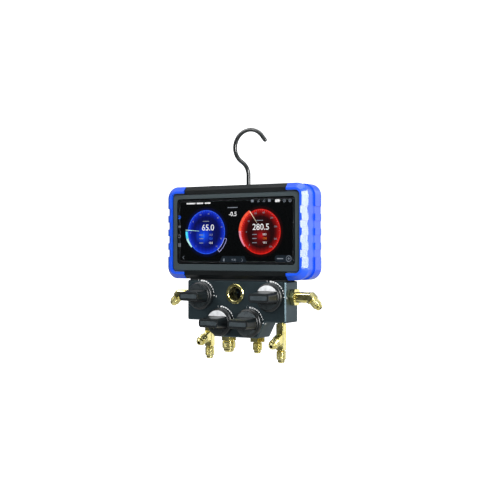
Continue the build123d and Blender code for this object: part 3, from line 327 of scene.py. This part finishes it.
def dialGlow(tree, place, glow):
    # colour by the distance from the middle of a dial, in the plane of the screen
    x, z = glow["place"]
    flat = addNode(tree, "ShaderNodeVectorMath", {"operation": "MULTIPLY"}, links={0: place})
    flat.inputs[1].default_value = (1.0, 0.0, 1.0)
    reach = addNode(tree, "ShaderNodeVectorMath", {"operation": "DISTANCE"},
                    links={0: flat.outputs["Vector"]})
    reach.inputs[1].default_value = (screenX + x * mm, 0.0, screenZ + z * mm)
    part = addNode(tree, "ShaderNodeMath", {"operation": "DIVIDE"},
                   links={0: reach.outputs["Value"]})
    part.inputs[1].default_value = glow["span"] * mm
    return colourRamp(tree, part.outputs["Value"], glow["stops"])


def mixColour(tree, blend, first, second):
    both = addNode(tree, "ShaderNodeMix", {"data_type": "RGBA", "blend_type": blend},
                   {"Factor": 1.0}, {6: first, 7: second})
    return both.outputs[2]


def litPanel():
    # liquid crystal panel: black ground with two glowing dials and a faint grid of cells
    material, tree, shader, place = newMaterial("litPanel", {
        "Base Color": (0.0, 0.0, 0.0, 1.0), "Roughness": 0.5, "Emission Strength": 1.0,
        "Specular IOR Level": 0.0,
    })
    parts = {name: dialGlow(tree, place, glow) for name, glow in glows.items()}
    blue = mixColour(tree, "ADD", parts["blueRing"], parts["blueSpot"])
    red = mixColour(tree, "ADD", parts["redRing"], parts["redSpot"])
    grid = addNode(tree, "ShaderNodeTexWave", {"bands_direction": "X"}, {
        "Scale": stripeScale(screen["gridMm"]),
    }, {"Vector": place})
    cells = colourRamp(tree, grid.outputs["Fac"], [(0.0, "#E6E6E6"), (0.4, "#FFFFFF")])
    woven = mixColour(tree, "MULTIPLY", mixColour(tree, "ADD", blue, red), cells)
    tree.links.new(woven, shader.inputs["Emission Color"])
    return material


# finishes of the CAD pieces
finishes = {
    "bumper_left": bumperElastomer, "bumper_right": bumperElastomer,
    "front_bezel": texturedAbs, "rear_cover": texturedAbs,
    "top_bar": satinAbs, "bottom_bar": satinAbs,
    "neck_pad": siliconeRubber, "usb_cover": siliconeRubber, "power_button": siliconeRubber,
    "housing_gasket": siliconeRubber, "display_seal": siliconeRubber, "sight_seal": siliconeRubber,
    "lcd_panel": litPanel(), "sight_glass": sightGlassClear,
    "main_board": solderMask, "power_switch": mouldedNylon, "battery_pack": shrinkWrap,
    "housing_screws": zincSteel, "board_screws": zincSteel, "neck_screws": zincSteel,
    "hook_nut": zincSteel, "pressure_sensors": zincSteel, "usb_port": zincSteel,
    "manifold_block": anodisedAluminium, "sight_ring": brass, "gland_nuts": brass,
    "elbow_left": brass, "elbow_right": brass, "y_fitting_left": brass,
    "y_fitting_right": brass, "port_3_8": brass, "port_1_4": brass,
    "port_washers": naturalNylon, "hook": blackedSteel, "hook_bush": mouldedNylon,
    "valve_seats": sinteredPtfe, "stem_packings": sinteredPtfe,
}
# per disc, upper tone then lower tone: white upper tones (upper_right, lower_left) are painted
# reflection, and the darker lower tones are painted shade under the bar
discReflectionAndShadeTones = {
    "upper_left": ("#2E3436", "#2A3032"), "upper_right": ("#E9EBEC", "#2C3234"),
    "lower_left": ("#E9EBEC", "#2C3234"), "lower_right": ("#565D60", "#3A4143"),
}
for valveName in valveNames:
    finishes["knob_" + valveName] = mouldedNylon
    finishes["disc_" + valveName] = paintedReflectionFilm(valveName, *discReflectionAndShadeTones[valveName])
    finishes["label_plate_" + valveName] = darkPlate
    finishes["stem_" + valveName] = zincSteel
    finishes["ball_" + valveName] = chromedBall
for nodeName, finish in finishes.items():
    data = nodes[nodeName].data
    data.materials.clear()
    data.materials.append(finish)
print("finishes:", len(finishes), "CAD pieces dressed")


# mesh tools
digitShare = 0.72  # height of a digit as a share of the letter size


def finishPiece(name, mesh, material, body):
    data = bpy.data.meshes.new(name)
    mesh.to_mesh(data)
    mesh.free()
    data.materials.append(material)
    piece = bpy.data.objects.new(name, data)
    bpy.context.scene.collection.objects.link(piece)
    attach(piece, body)
    return piece


def addPrism(mesh, outline, face, depth):
    # flat shape in the plane of the screen, from y = face back by depth
    front = [mesh.verts.new((x, face, z)) for x, z in outline]
    back = [mesh.verts.new((x, face + depth, z)) for x, z in outline]
    mesh.faces.new(front)
    mesh.faces.new(back[::-1])
    for i in range(len(outline)):
        j = (i + 1) % len(outline)
        mesh.faces.new((front[j], front[i], back[i], back[j]))


def addArc(mesh, centre, inner, outer, start, end, face, depth, steps=48, taper=1.0):
    # part of a ring: angles in degrees from +X towards +Z, taper scales its width at the end
    cx, cz = centre
    full = abs(end - start) >= 360
    count = steps if full else steps + 1
    rings = []
    for i in range(count):
        share = i / steps
        angle = math.radians(start + (end - start) * share)
        far = inner + (outer - inner) * (1 + (taper - 1) * share)
        rings.append([
            mesh.verts.new((cx + r * math.cos(angle), y, cz + r * math.sin(angle)))
            for r, y in ((inner, face), (far, face), (far, face + depth), (inner, face + depth))
        ])
    for i in range(steps):
        one, two = rings[i], rings[(i + 1) % count]
        for k in range(4):
            mesh.faces.new((one[k], one[(k + 1) % 4], two[(k + 1) % 4], two[k]))
    if not full:
        mesh.faces.new(rings[0][::-1])
        mesh.faces.new(rings[-1])


def roundedOutline(cx, cz, width, height, radius, steps=6):
    points = []
    for quarter, (sx, sz) in enumerate(((1, 1), (-1, 1), (-1, -1), (1, -1))):
        ox, oz = cx + sx * (width / 2 - radius), cz + sz * (height / 2 - radius)
        for i in range(steps + 1):
            angle = math.radians(90 * (quarter + i / steps))
            points.append((ox + radius * math.cos(angle), oz + radius * math.sin(angle)))
    return points


def strokeOutline(start, end, widthStart, widthEnd):
    along = Vector(end) - Vector(start)
    side = Vector((-along.y, along.x)).normalized()
    a, b = Vector(start), Vector(end)
    return [tuple(a + side * widthStart / 2), tuple(a - side * widthStart / 2),
            tuple(b - side * widthEnd / 2), tuple(b + side * widthEnd / 2)]


def addNumber(mesh, text, x, z, height, face, depth, weight=0.0):
    # plain numbers, centred on x, z, where height is that of a digit
    curve = bpy.data.curves.new("numberShape", "FONT")
    curve.body = text
    curve.size = height / digitShare
    curve.align_x = "CENTER"
    curve.align_y = "CENTER"
    curve.offset = weight * height
    curve.resolution_u = 3
    curve.extrude = depth / 2
    holder = bpy.data.objects.new("numberShape", curve)
    bpy.context.scene.collection.objects.link(holder)
    bpy.context.view_layer.update()
    shape = bpy.data.meshes.new_from_object(holder.evaluated_get(
        bpy.context.evaluated_depsgraph_get()))
    shape.transform(Matrix.Translation((x, face + depth / 2, z))
                    @ Matrix.Rotation(math.radians(90), 4, "X"))
    mesh.from_mesh(shape)
    bpy.data.objects.remove(holder)
    bpy.data.curves.remove(curve)
    bpy.data.meshes.remove(shape)


# cover glass with its printed edge
glassFacts = {"radius": 4.0, "bevel": 0.25, "backGap": 0.2, "printDepth": 0.06, "printWidth": 1.2,
              "cornerSteps": 10}


def coverGlass():
    width, height = glassHigh.x - glassLow.x, glassHigh.z - glassLow.z
    radius, bevel = glassFacts["radius"] * mm, glassFacts["bevel"] * mm
    back = glassHigh.y - glassFacts["backGap"] * mm
    layers = [(glassLow.y, bevel), (glassLow.y + bevel, 0.0), (back, 0.0)]
    mesh = bmesh.new()
    rings = []
    for depth, inset in layers:
        outline = roundedOutline(screenX, screenZ, width - 2 * inset, height - 2 * inset,
                                 radius - inset, glassFacts["cornerSteps"])
        rings.append([mesh.verts.new((x, depth, z)) for x, z in outline])
    mesh.faces.new(rings[0])
    mesh.faces.new(rings[-1][::-1])
    for one, two in zip(rings, rings[1:]):
        for i in range(len(one)):
            j = (i + 1) % len(one)
            mesh.faces.new((one[j], one[i], two[i], two[j]))
    piece = finishPiece("coverGlass", mesh, coverGlassClear, "housing")
    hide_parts("display_glass")
    return back


def glassPrint(back):
    # black ink on the back of the glass, open over the panel
    width, height = glassHigh.x - glassLow.x, glassHigh.z - glassLow.z
    radius, rim = glassFacts["radius"] * mm, glassFacts["printWidth"] * mm
    depth = glassFacts["printDepth"] * mm
    steps = glassFacts["cornerSteps"]
    outer = roundedOutline(screenX, screenZ, width, height, radius, steps)
    inner = roundedOutline(screenX, screenZ, width - 2 * rim, height - 2 * rim, radius / 2, steps)
    mesh = bmesh.new()
    loops = [[mesh.verts.new((x, y, z)) for x, z in shape] for shape, y in (
        (outer, back), (inner, back), (inner, back + depth), (outer, back + depth))]
    for a in range(4):
        one, two = loops[a], loops[(a + 1) % 4]
        for i in range(len(one)):
            j = (i + 1) % len(one)
            mesh.faces.new((one[i], one[j], two[j], two[i]))
    ink = surface("printedInk", {
        "dark": "#010202", "light": "#030404", "grainMm": 0.6, "driftMm": 20,
        "roughness": (0.5, 0.6), "bump": 0.05, "depthMm": 0.01,
    }, {"IOR": 1.5, "Specular IOR Level": 0.0})
    finishPiece("glassPrint", mesh, ink, "housing")


glassBack = coverGlass()
glassPrint(glassBack)
print("glass done")

# what the screen shows: dials, plain numbers and simple signs
layerDepth = screen["layerDepth"] * mm
layerFace = [panelFace - screen["layerStep"] * (k + 1) * mm for k in range(3)]


def screenPlace(x, z):
    return screenX + x * mm, screenZ + z * mm


def screenArc(mesh, dial, inner, outer, start, end, layer=0, taper=1.0, steps=64):
    addArc(mesh, screenPlace(*dial), inner * mm, outer * mm, start, end, layerFace[layer],
           layerDepth, steps, taper)


def screenStroke(mesh, start, end, width, tip=None, layer=0):
    tip = width if tip is None else tip
    addPrism(mesh, strokeOutline(screenPlace(*start), screenPlace(*end), width * mm, tip * mm),
             layerFace[layer], layerDepth)


def screenNumber(mesh, text, x, z, height, layer=0, weight=0.0):
    addNumber(mesh, text, *screenPlace(x, z), height * mm, layerFace[layer], layerDepth, weight)


def screenPanel(mesh, x, z, width, height, radius, layer=0):
    cx, cz = screenPlace(x, z)
    addPrism(mesh, roundedOutline(cx, cz, width * mm, height * mm, radius * mm),
             layerFace[layer], layerDepth)


def showPiece(name, mesh, ink):
    return finishPiece(name, mesh, ink, "housing")


inks = {
    "white": litInk("inkWhite", "#FFFFFF", 1.0), "soft": litInk("inkSoft", "#9AA2AD", 0.8),
    "blue": litInk("inkBlue", "#2E6BFF", 1.1), "cyan": litInk("inkCyan", "#4FE0FF", 1.1),
    "mint": litInk("inkMint", "#BFF5F0", 1.1), "red": litInk("inkRed", "#FF2A1E", 1.1),
    "coral": litInk("inkCoral", "#FF5A3C", 1.1), "pink": litInk("inkPink", "#FF9AB0", 1.0),
    "cream": litInk("inkCream", "#FFE9C8", 1.1), "orange": litInk("inkOrange", "#FF7A20", 1.0),
    "lavender": litInk("inkLavender", "#C9C6FF", 1.0), "tab": litInk("inkTab", "#2B3640", 0.5),
}
dialShape = {
    "ringWidth": 0.45, "ringSteps": 96, "bandSteps": 24, "bandTapers": (1.0, 0.45),
    "needleWidths": (0.95, 0.35), "tickHeight": 1.9, "valueHeight": 7.4, "valueWeight": 0.008,
    "strokes": 45, "strokeFrom": -48, "strokeTo": 228, "longStrokeEvery": 4,
    "longStroke": 2.0, "shortStroke": 1.3, "strokeEnd": 0.6, "strokeWidth": 0.22,
    "rowHeight": 2.3, "rowWeight": 0.012, "rowDash": (6.0, 0.9, 0.3), "unitDash": (9.0, 0.8, 0.3),
}
dials = {  # places in mm from the middle of the screen; rows: height, ink, number
    "blueDial": {
        "ring": "blue", "band": ("cyan", "mint"), "bandAngles": (178, 196, 221), "bandInner": 26.6,
        "bandOuter": 29.8, "needle": ((-69.1, 1.9), (-49.3, 0.4)), "needleInk": "mint",
        "value": ("65.0", -37.0, 4.2), "unit": (-39.9, 12.1),
        "ticks": [("0", -62.0, -1.7), ("10", -58.8, 11.7), ("20", -47.8, 20.1),
                  ("30", -36.3, 21.1), ("40", -23.0, 16.0), ("50", -17.8, 5.1),
                  ("60", -18.5, -8.7), ("70", -24.9, -18.3), ("-2", -54.7, -18.2)],
        "rowDashX": -46.5, "rowNumberX": -33.0,
        "rows": [(-4.3, "soft", "12.0"), (-8.8, "blue", "12.0"), (-14.0, "white", "10.5")],
    },
    "redDial": {
        "ring": "red", "band": ("coral", "pink"), "bandAngles": (121, 178, 219), "bandInner": 26.4,
        "bandOuter": 29.6, "needle": ((21.2, 23.0), (30.6, 9.4)), "needleInk": "cream",
        "value": ("280.5", 36.0, 4.2), "unit": (34.5, 12.1),
        "ticks": [("0", 16.4, -1.4), ("50", 19.5, 11.2), ("100", 28.5, 20.3),
                  ("150", 39.4, 21.0), ("200", 50.5, 14.8), ("250", 55.6, 4.6),
                  ("300", 55.3, -9.6), ("350", 49.0, -18.6), ("-5", 20.5, -16.5)],
        "rowDashX": 27.5, "rowNumberX": 41.0,
        "rows": [(-4.3, "white", "10.5"), (-9.0, "orange", "12.0"), (-13.9, "white", "10.5")],
    },
}


def dialPoint(dial, radius, degrees):
    angle = math.radians(degrees)
    return dial[0] + radius * math.cos(angle), dial[1] + radius * math.sin(angle)


def drawDial(name, facts):
    dial, radius, shape = screen[name], screen["dialRadius"], dialShape
    ring = bmesh.new()
    screenArc(ring, dial, radius - shape["ringWidth"], radius, 0, 360, steps=shape["ringSteps"])
    showPiece(name + "Ring", ring, inks[facts["ring"]])
    angles = facts["bandAngles"]
    for part, (start, end) in enumerate(zip(angles, angles[1:])):
        band = bmesh.new()
        screenArc(band, dial, facts["bandInner"], facts["bandOuter"], start, end, layer=1,
                  steps=shape["bandSteps"], taper=shape["bandTapers"][part])
        showPiece(f"{name}Band{part + 1}", band, inks[facts["band"][part]])
    needle = bmesh.new()
    screenStroke(needle, *facts["needle"], *shape["needleWidths"], layer=2)
    showPiece(name + "Needle", needle, inks[facts["needleInk"]])
    ticks = bmesh.new()
    for text, x, z in facts["ticks"]:
        screenNumber(ticks, text, x, z, shape["tickHeight"], layer=1)
    first, last, count = shape["strokeFrom"], shape["strokeTo"], shape["strokes"]
    for k in range(count):
        degrees = first + (last - first) * k / (count - 1)
        stroke = shape["shortStroke"] if k % shape["longStrokeEvery"] else shape["longStroke"]
        screenStroke(ticks, dialPoint(dial, radius - stroke, degrees),
                     dialPoint(dial, radius - shape["strokeEnd"], degrees),
                     shape["strokeWidth"], layer=1)
    showPiece(name + "Scale", ticks, inks["soft"])
    value = bmesh.new()
    screenNumber(value, *facts["value"], shape["valueHeight"], 2, shape["valueWeight"])
    dashes, tinted = bmesh.new(), {}
    for z, ink, text in facts["rows"]:
        if ink != "white":
            tinted[ink] = bmesh.new()
        screenNumber(tinted.get(ink, value), text, facts["rowNumberX"], z, shape["rowHeight"], 2,
                     shape["rowWeight"])
        screenPanel(dashes, facts["rowDashX"], z, *shape["rowDash"], layer=2)
    showPiece(name + "Value", value, inks["white"])
    for ink, numbers in tinted.items():
        showPiece(f"{name}Row{ink}", numbers, inks[ink])
    screenPanel(dashes, *facts["unit"], *shape["unitDash"], layer=2)
    showPiece(name + "Dashes", dashes, inks["soft"])


# simple signs, each shape with its layer first, then its place and size in mm
# panels: x, z, width, height, corner; strokes: start, end, width
# rings: centre, inner, outer, steps; numbers: text, x, z, height, weight
signs = {
    "topLine": {
        "ink": "white",
        "panels": [(0, -61.5, 34.0, 13.0, 1.7, 0.6), (0, -48.6, 34.0, 9.4, 1.7, 0.6),
                   (0, -37.6, 34.0, 8.0, 1.7, 0.6)],
        "numbers": [(0, "-0.5", -2.2, 20.0, 5.2, 0.02)],
    },
    "signs": {
        "ink": "soft",
        "panels": [(0, -2.5, 27.9, 14.0, 0.9, 0.3), (0, 24.5, 35.0, 3.4, 3.0, 0.5),
                   (0, 47.4, 35.0, 3.4, 3.0, 0.5), (0, 67.0, 34.3, 0.8, 1.4, 0.2),
                   (0, 74.4, 34.3, 0.8, 1.4, 0.2), (1, -14.6, -34.3, 2.0, 3.4, 0.8),
                   *[(0, -78.7 + dx, -16.3 + dz, 1.7, 1.7, 0.3)
                     for dx in (-1.2, 1.2) for dz in (-1.2, 1.2)],
                   *[(0, -78.7 + dx, 6.1, 0.8, 2.6, 0.2) for dx in (-1.4, 0.0, 1.4)]],
        "strokes": [(0, (31.0, 33.6), (34.0, 36.6), 0.5), (0, (32.2, 33.4), (34.5, 34.6), 0.5),
                    (0, (38.4, 33.6), (41.4, 36.6), 0.5), (0, (39.6, 33.4), (41.9, 34.6), 0.5),
                    (0, (-71.4, -29.6), (-73.6, -31.8), 0.4),
                    (0, (-73.6, -31.6), (-71.4, -33.8), 0.4),
                    (1, (10.0, -32.4), (11.6, -34.4), 0.4),
                    (1, (11.6, -34.2), (10.0, -36.2), 0.4)],
        "rings": [(0, (67.0, 34.3), 1.4, 1.9, 32), (0, (74.4, 34.3), 1.4, 1.9, 32),
                  (0, (-78.7, -5.6), 1.5, 2.1, 32)],
        "numbers": [(1, "9:30", -0.8, -34.3, 2.6, 0.0)],
    },
    "batterySign": {
        "ink": "white",
        "panels": [(0, 57.8, 34.5, 5.6, 3.2, 0.5), (0, 61.2, 34.5, 0.6, 1.5, 0.2)],
    },
    "homeSign": {
        "ink": "blue", "rings": [(0, (-78.7, 17.6), 1.5, 2.2, 32)],
        "strokes": [(0, (-78.7, 15.8), (-78.7, 18.4), 0.9)],
    },
    "tabs": {
        "ink": "tab", "panels": [(0, 65.8, -32.4, 23.0, 8.0, 3.6)],
        "outlines": [(0, [(-20.6, -36.9), (17.0, -36.9), (13.5, -29.7), (-17.1, -29.7)])],
    },
    "pillSign": {
        "ink": "soft", "panels": [(1, 61.5, -32.4, 8.0, 1.2, 0.4)],
        "strokes": [(1, (70.9, -32.4), (74.3, -32.4), 0.6),
                    (1, (72.6, -34.1), (72.6, -30.7), 0.6)],
        "rings": [(1, (72.6, -32.4), 3.0, 3.5, 40)],
    },
}
capsuleFacts = {"inner": 26.4, "outer": 30.4, "line": 0.5, "from": -52, "to": -16, "steps": 24}


def drawSign(name, facts):
    mesh = bmesh.new()
    for layer, *panel in facts.get("panels", []):
        screenPanel(mesh, *panel, layer=layer)
    for layer, start, end, width in facts.get("strokes", []):
        screenStroke(mesh, start, end, width, layer=layer)
    for layer, centre, inner, outer, steps in facts.get("rings", []):
        screenArc(mesh, centre, inner, outer, 0, 360, layer=layer, steps=steps)
    for layer, text, x, z, height, weight in facts.get("numbers", []):
        screenNumber(mesh, text, x, z, height, layer, weight)
    for layer, outline in facts.get("outlines", []):
        addPrism(mesh, [screenPlace(*point) for point in outline], layerFace[layer], layerDepth)
    showPiece(name, mesh, inks[facts["ink"]])


def drawCapsule():
    # outlined sector beside the blue dial
    dial, facts = screen["blueDial"], capsuleFacts
    inner, outer, line = facts["inner"], facts["outer"], facts["line"]
    mesh = bmesh.new()
    for low in (inner, outer - line):
        screenArc(mesh, dial, low, low + line, facts["from"], facts["to"], layer=1,
                  steps=facts["steps"])
    for degrees in (facts["from"], facts["to"]):
        screenStroke(mesh, dialPoint(dial, inner, degrees), dialPoint(dial, outer, degrees), line,
                     layer=2)
    showPiece("capsule", mesh, inks["lavender"])


for dialName, dialFacts in dials.items():
    drawDial(dialName, dialFacts)
for signName, signFacts in signs.items():
    drawSign(signName, signFacts)
drawCapsule()
print("screen done")

# marks on the block
markFacts = {
    "radius": 18.2, "thick": 0.05, "sink": 0.01, "dashes": 8, "from": 92, "to": 8,
    "widthStart": 1.8, "widthEnd": 0.6, "dashShare": (0.8, 0.55), "dashSteps": 8,
    "tip": [(0.0, 1.4), (0.9, -0.2), (-0.8, -0.2)], "digitHeight": 2.2,
    "closedDigit": ("0", 3.0, -0.5), "openDigit": ("1", -4.0, 0.3),
}
markInk = surface("markInk", {
    "dark": "#EDEFEF", "light": "#FAFBFB", "grainMm": 0.5, "driftMm": 6,
    "roughness": (0.4, 0.55), "bump": 0.1, "depthMm": 0.01,
}, {"IOR": 1.5})


def blockMarks():
    # tapering dashes from the open to the closed side of every dial, and plain 1 and 0
    facts = markFacts
    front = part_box("manifold_block")[0].y - facts["thick"] * mm
    depth = (facts["thick"] + facts["sink"]) * mm
    radius, height, count = facts["radius"] * mm, facts["digitHeight"] * mm, facts["dashes"]
    span = facts["from"] - facts["to"]
    fullShare, lastShare = facts["dashShare"]
    mesh = bmesh.new()
    for name in valveNames:
        low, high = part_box("disc_" + name)
        cx, cz = (low.x + high.x) / 2, (low.z + high.z) / 2
        for k in range(count):
            share = k / (count - 1)
            half = (facts["widthStart"] + (facts["widthEnd"] - facts["widthStart"]) * share) / 2
            start = facts["from"] - span * k / count
            length = span / count * (fullShare + (lastShare - fullShare) * share)
            addArc(mesh, (cx, cz), radius - half * mm, radius + half * mm, start, start - length,
                   front, depth, facts["dashSteps"])
        addPrism(mesh, [(cx + radius + x * mm, cz + z * mm) for x, z in facts["tip"]], front, depth)
        text, x, z = facts["closedDigit"]
        addNumber(mesh, text, cx + radius + x * mm, cz + z * mm, height, front, depth)
        text, x, z = facts["openDigit"]
        addNumber(mesh, text, cx + x * mm, cz + radius + z * mm, height, front, depth)
    finishPiece("blockMarks", mesh, markInk, "housing")


blockMarks()
print("marks done")

# threads: a helical ridge on each flare end
threadShape = {"height": 0.2, "sink": 0.05, "stepsPerTurn": 30, "runOut": 0.3, "relief": 1.6,
               "chamfer": 0.6, "baseShare": 0.4, "crestShare": 0.15}
threadEnds = {
    "threadPortLarge": {"start": (-19.9, -13.0, -252.36), "along": (0, 0, -1), "radius": 7.94,
                        "length": 8.0, "pitch": 1.41},
    "threadPortSmall": {"start": (19.9, -13.0, -252.36), "along": (0, 0, -1), "radius": 5.56,
                        "length": 8.4, "pitch": 1.27},
    "threadElbowLeft": {"start": (-93.65, -13.0, -201.61), "along": (-1, 0, -1), "radius": 5.56,
                        "length": 7.6, "pitch": 1.27},
    "threadElbowRight": {"start": (93.65, -13.0, -201.61), "along": (1, 0, -1), "radius": 5.56,
                         "length": 7.6, "pitch": 1.27},
    "threadBranchLeft": {"start": (-49.8, -20.75, -250.63), "along": (0, -0.94, -0.342),
                         "radius": 5.56, "length": 8.4, "pitch": 1.27},
    "threadBranchRight": {"start": (49.8, -20.75, -250.63), "along": (0, -0.94, -0.342),
                          "radius": 5.56, "length": 8.4, "pitch": 1.27},
    "threadLowerLeft": {"start": (-49.8, -9.0, -261.06), "along": (0, 0, -1), "radius": 5.56,
                        "length": 9.8, "pitch": 1.27},
    "threadLowerRight": {"start": (49.8, -9.0, -261.06), "along": (0, 0, -1), "radius": 5.56,
                         "length": 9.8, "pitch": 1.27},
}


def addThread(name, facts):
    start, along = Vector(facts["start"]) * mm, Vector(facts["along"]).normalized()
    side = along.orthogonal().normalized()
    across = along.cross(side)
    radius, pitch = facts["radius"] * mm, facts["pitch"] * mm
    halfBase = threadShape["baseShare"] * pitch
    halfCrest = threadShape["crestShare"] * halfBase
    first = threadShape["relief"] * mm + halfBase
    run = (facts["length"] - threadShape["chamfer"]) * mm - 2 * halfBase
    turns = run / pitch
    steps = round(turns * threadShape["stepsPerTurn"])
    foot = radius - threadShape["sink"] * mm
    mesh = bmesh.new()
    rings = []
    for i in range(steps + 1):
        turn = turns * i / steps
        grown = min(1.0, turn / threadShape["runOut"], (turns - turn) / threadShape["runOut"])
        angle = 2 * math.pi * turn
        out = side * math.cos(angle) + across * math.sin(angle)
        tip = foot + (threadShape["sink"] + threadShape["height"] * grown) * mm
        middle = start + along * (first + pitch * turn)
        rings.append([
            mesh.verts.new(middle - along * halfBase + out * foot),
            mesh.verts.new(middle - along * halfCrest + out * tip),
            mesh.verts.new(middle + along * halfCrest + out * tip),
            mesh.verts.new(middle + along * halfBase + out * foot),
        ])
    for one, two in zip(rings, rings[1:]):
        for k in range(4):
            mesh.faces.new((one[k], two[k], two[(k + 1) % 4], one[(k + 1) % 4]))
    mesh.faces.new(rings[0])
    mesh.faces.new(rings[-1][::-1])
    bmesh.ops.recalc_face_normals(mesh, faces=mesh.faces)
    finishPiece(name, mesh, brass, "housing")


for threadName, threadFacts in threadEnds.items():
    addThread(threadName, threadFacts)
print("threads done")

# stage, light and camera
stageFacts = {"floorHeight": -0.95, "flat": 3.0, "rim": 1.6, "top": 3.2, "middleHole": 0.001,
              "curveSteps": 12, "steps": 96}


def paleStudio():
    # pale floor whose edge curves up all round
    flat, rim, top, base = (stageFacts[k] for k in ("flat", "rim", "top", "floorHeight"))
    profile = [(stageFacts["middleHole"], base), (flat, base)]
    for i in range(1, stageFacts["curveSteps"] + 1):
        angle = math.radians(90 * i / stageFacts["curveSteps"])
        profile.append((flat + rim * math.sin(angle), base + rim * (1 - math.cos(angle))))
    profile.append((flat + rim, top))
    mesh = bmesh.new()
    steps = stageFacts["steps"]
    rings = [[mesh.verts.new((r * math.cos(2 * math.pi * k / steps),
                              r * math.sin(2 * math.pi * k / steps), z)) for k in range(steps)]
             for r, z in profile]
    for one, two in zip(rings, rings[1:]):
        for k in range(steps):
            j = (k + 1) % steps
            mesh.faces.new((one[k], one[j], two[j], two[k]))
    mesh.faces.new(rings[0])
    data = bpy.data.meshes.new("studioFloor")
    mesh.to_mesh(data)
    mesh.free()
    for polygon in data.polygons:
        polygon.use_smooth = True
    paint = surface("floorPaint", {
        "dark": "#F1F2F3", "light": "#F8F9FA", "grainMm": 30, "driftMm": 900,
        "roughness": (0.7, 0.8), "bump": 0.02, "depthMm": 0.1,
    }, {"IOR": 1.4, "Emission Color": (1.0, 1.0, 1.0, 1.0), "Emission Strength": 1.0})
    data.materials.append(paint)
    floor = bpy.data.objects.new("studioFloor", data)
    bpy.context.scene.collection.objects.link(floor)
    floor.visible_glossy = False
    floor.visible_diffuse = False
    floor.visible_transmission = False


paleStudio()
world = bpy.data.worlds.new("studioAir")
bpy.context.scene.world = world
world.use_nodes = True
air = world.node_tree
air.nodes.clear()
airPlace = addNode(air, "ShaderNodeTexCoord").outputs["Generated"]
height = addNode(air, "ShaderNodeSeparateXYZ", links={"Vector": airPlace})
lift = addNode(air, "ShaderNodeMapRange", values={
    "From Min": -1.0, "From Max": 1.0, "To Min": 0.0, "To Max": 1.0,
}, links={"Value": height.outputs["Z"]})
airColour = colourRamp(air, lift.outputs["Result"], [
    (0.0, "#FFFFFF"), (0.38, "#D9DDE0"), (0.455, "#34383A"), (0.56, "#4A4F52"),
    (0.68, "#B9BEC2"), (1.0, "#F4F6F8"),
])
airLight = addNode(air, "ShaderNodeBackground", values={"Strength": 0.75},
                   links={"Color": airColour})
addNode(air, "ShaderNodeOutputWorld", links={"Surface": airLight.outputs["Background"]})

# softboxes: azimuth and elevation seen from the middle of the object, distance, size, watts
softboxes = {
    "keyBox": {"azimuth": 60, "elevation": 14, "distance": 1.5, "size": (0.4, 1.0), "watts": 30},
    "leftBox": {"azimuth": -40, "elevation": 30, "distance": 1.9, "size": (0.9, 0.9), "watts": 16},
    "topBox": {"azimuth": 20, "elevation": 78, "distance": 1.6, "size": (1.3, 0.9), "watts": 10},
    "sideBox": {"azimuth": 140, "elevation": 14, "distance": 1.7, "size": (1.3, 1.6), "watts": 8},
    "rearBox": {"azimuth": 215, "elevation": 35, "distance": 1.9, "size": (1.0, 1.0), "watts": 14},
}
middle = (cadBox[0] + cadBox[1]) / 2
for boxName, facts in softboxes.items():
    lamp = bpy.data.lights.new(boxName, "AREA")
    lamp.shape = "RECTANGLE"
    lamp.size, lamp.size_y = facts["size"]
    lamp.energy = facts["watts"]
    turn, rise = math.radians(facts["azimuth"]), math.radians(facts["elevation"])
    away = Vector((math.sin(turn) * math.cos(rise), -math.cos(turn) * math.cos(rise),
                   math.sin(rise)))
    holder = bpy.data.objects.new(boxName, lamp)
    holder.location = middle + away * facts["distance"]
    holder.rotation_euler = away.to_track_quat("Z", "Y").to_euler()
    bpy.context.scene.collection.objects.link(holder)

cameraFacts = {
    "place": (0.59728, -1.02533, -0.14441), "yaw": 30.72, "pitch": 0.635,
    "lens": 73.38, "sensor": 36.0,
}
lens = bpy.data.cameras.new("viewCamera")
lens.lens = cameraFacts["lens"]
lens.sensor_width = cameraFacts["sensor"]
camera = bpy.data.objects.new("viewCamera", lens)
camera.location = cameraFacts["place"]
camera.rotation_euler = (math.radians(90 + cameraFacts["pitch"]), 0.0,
                         math.radians(cameraFacts["yaw"]))
bpy.context.scene.collection.objects.link(camera)
bpy.context.scene.camera = camera
bpy.context.scene.view_settings.view_transform = "Standard"
print("studio done")
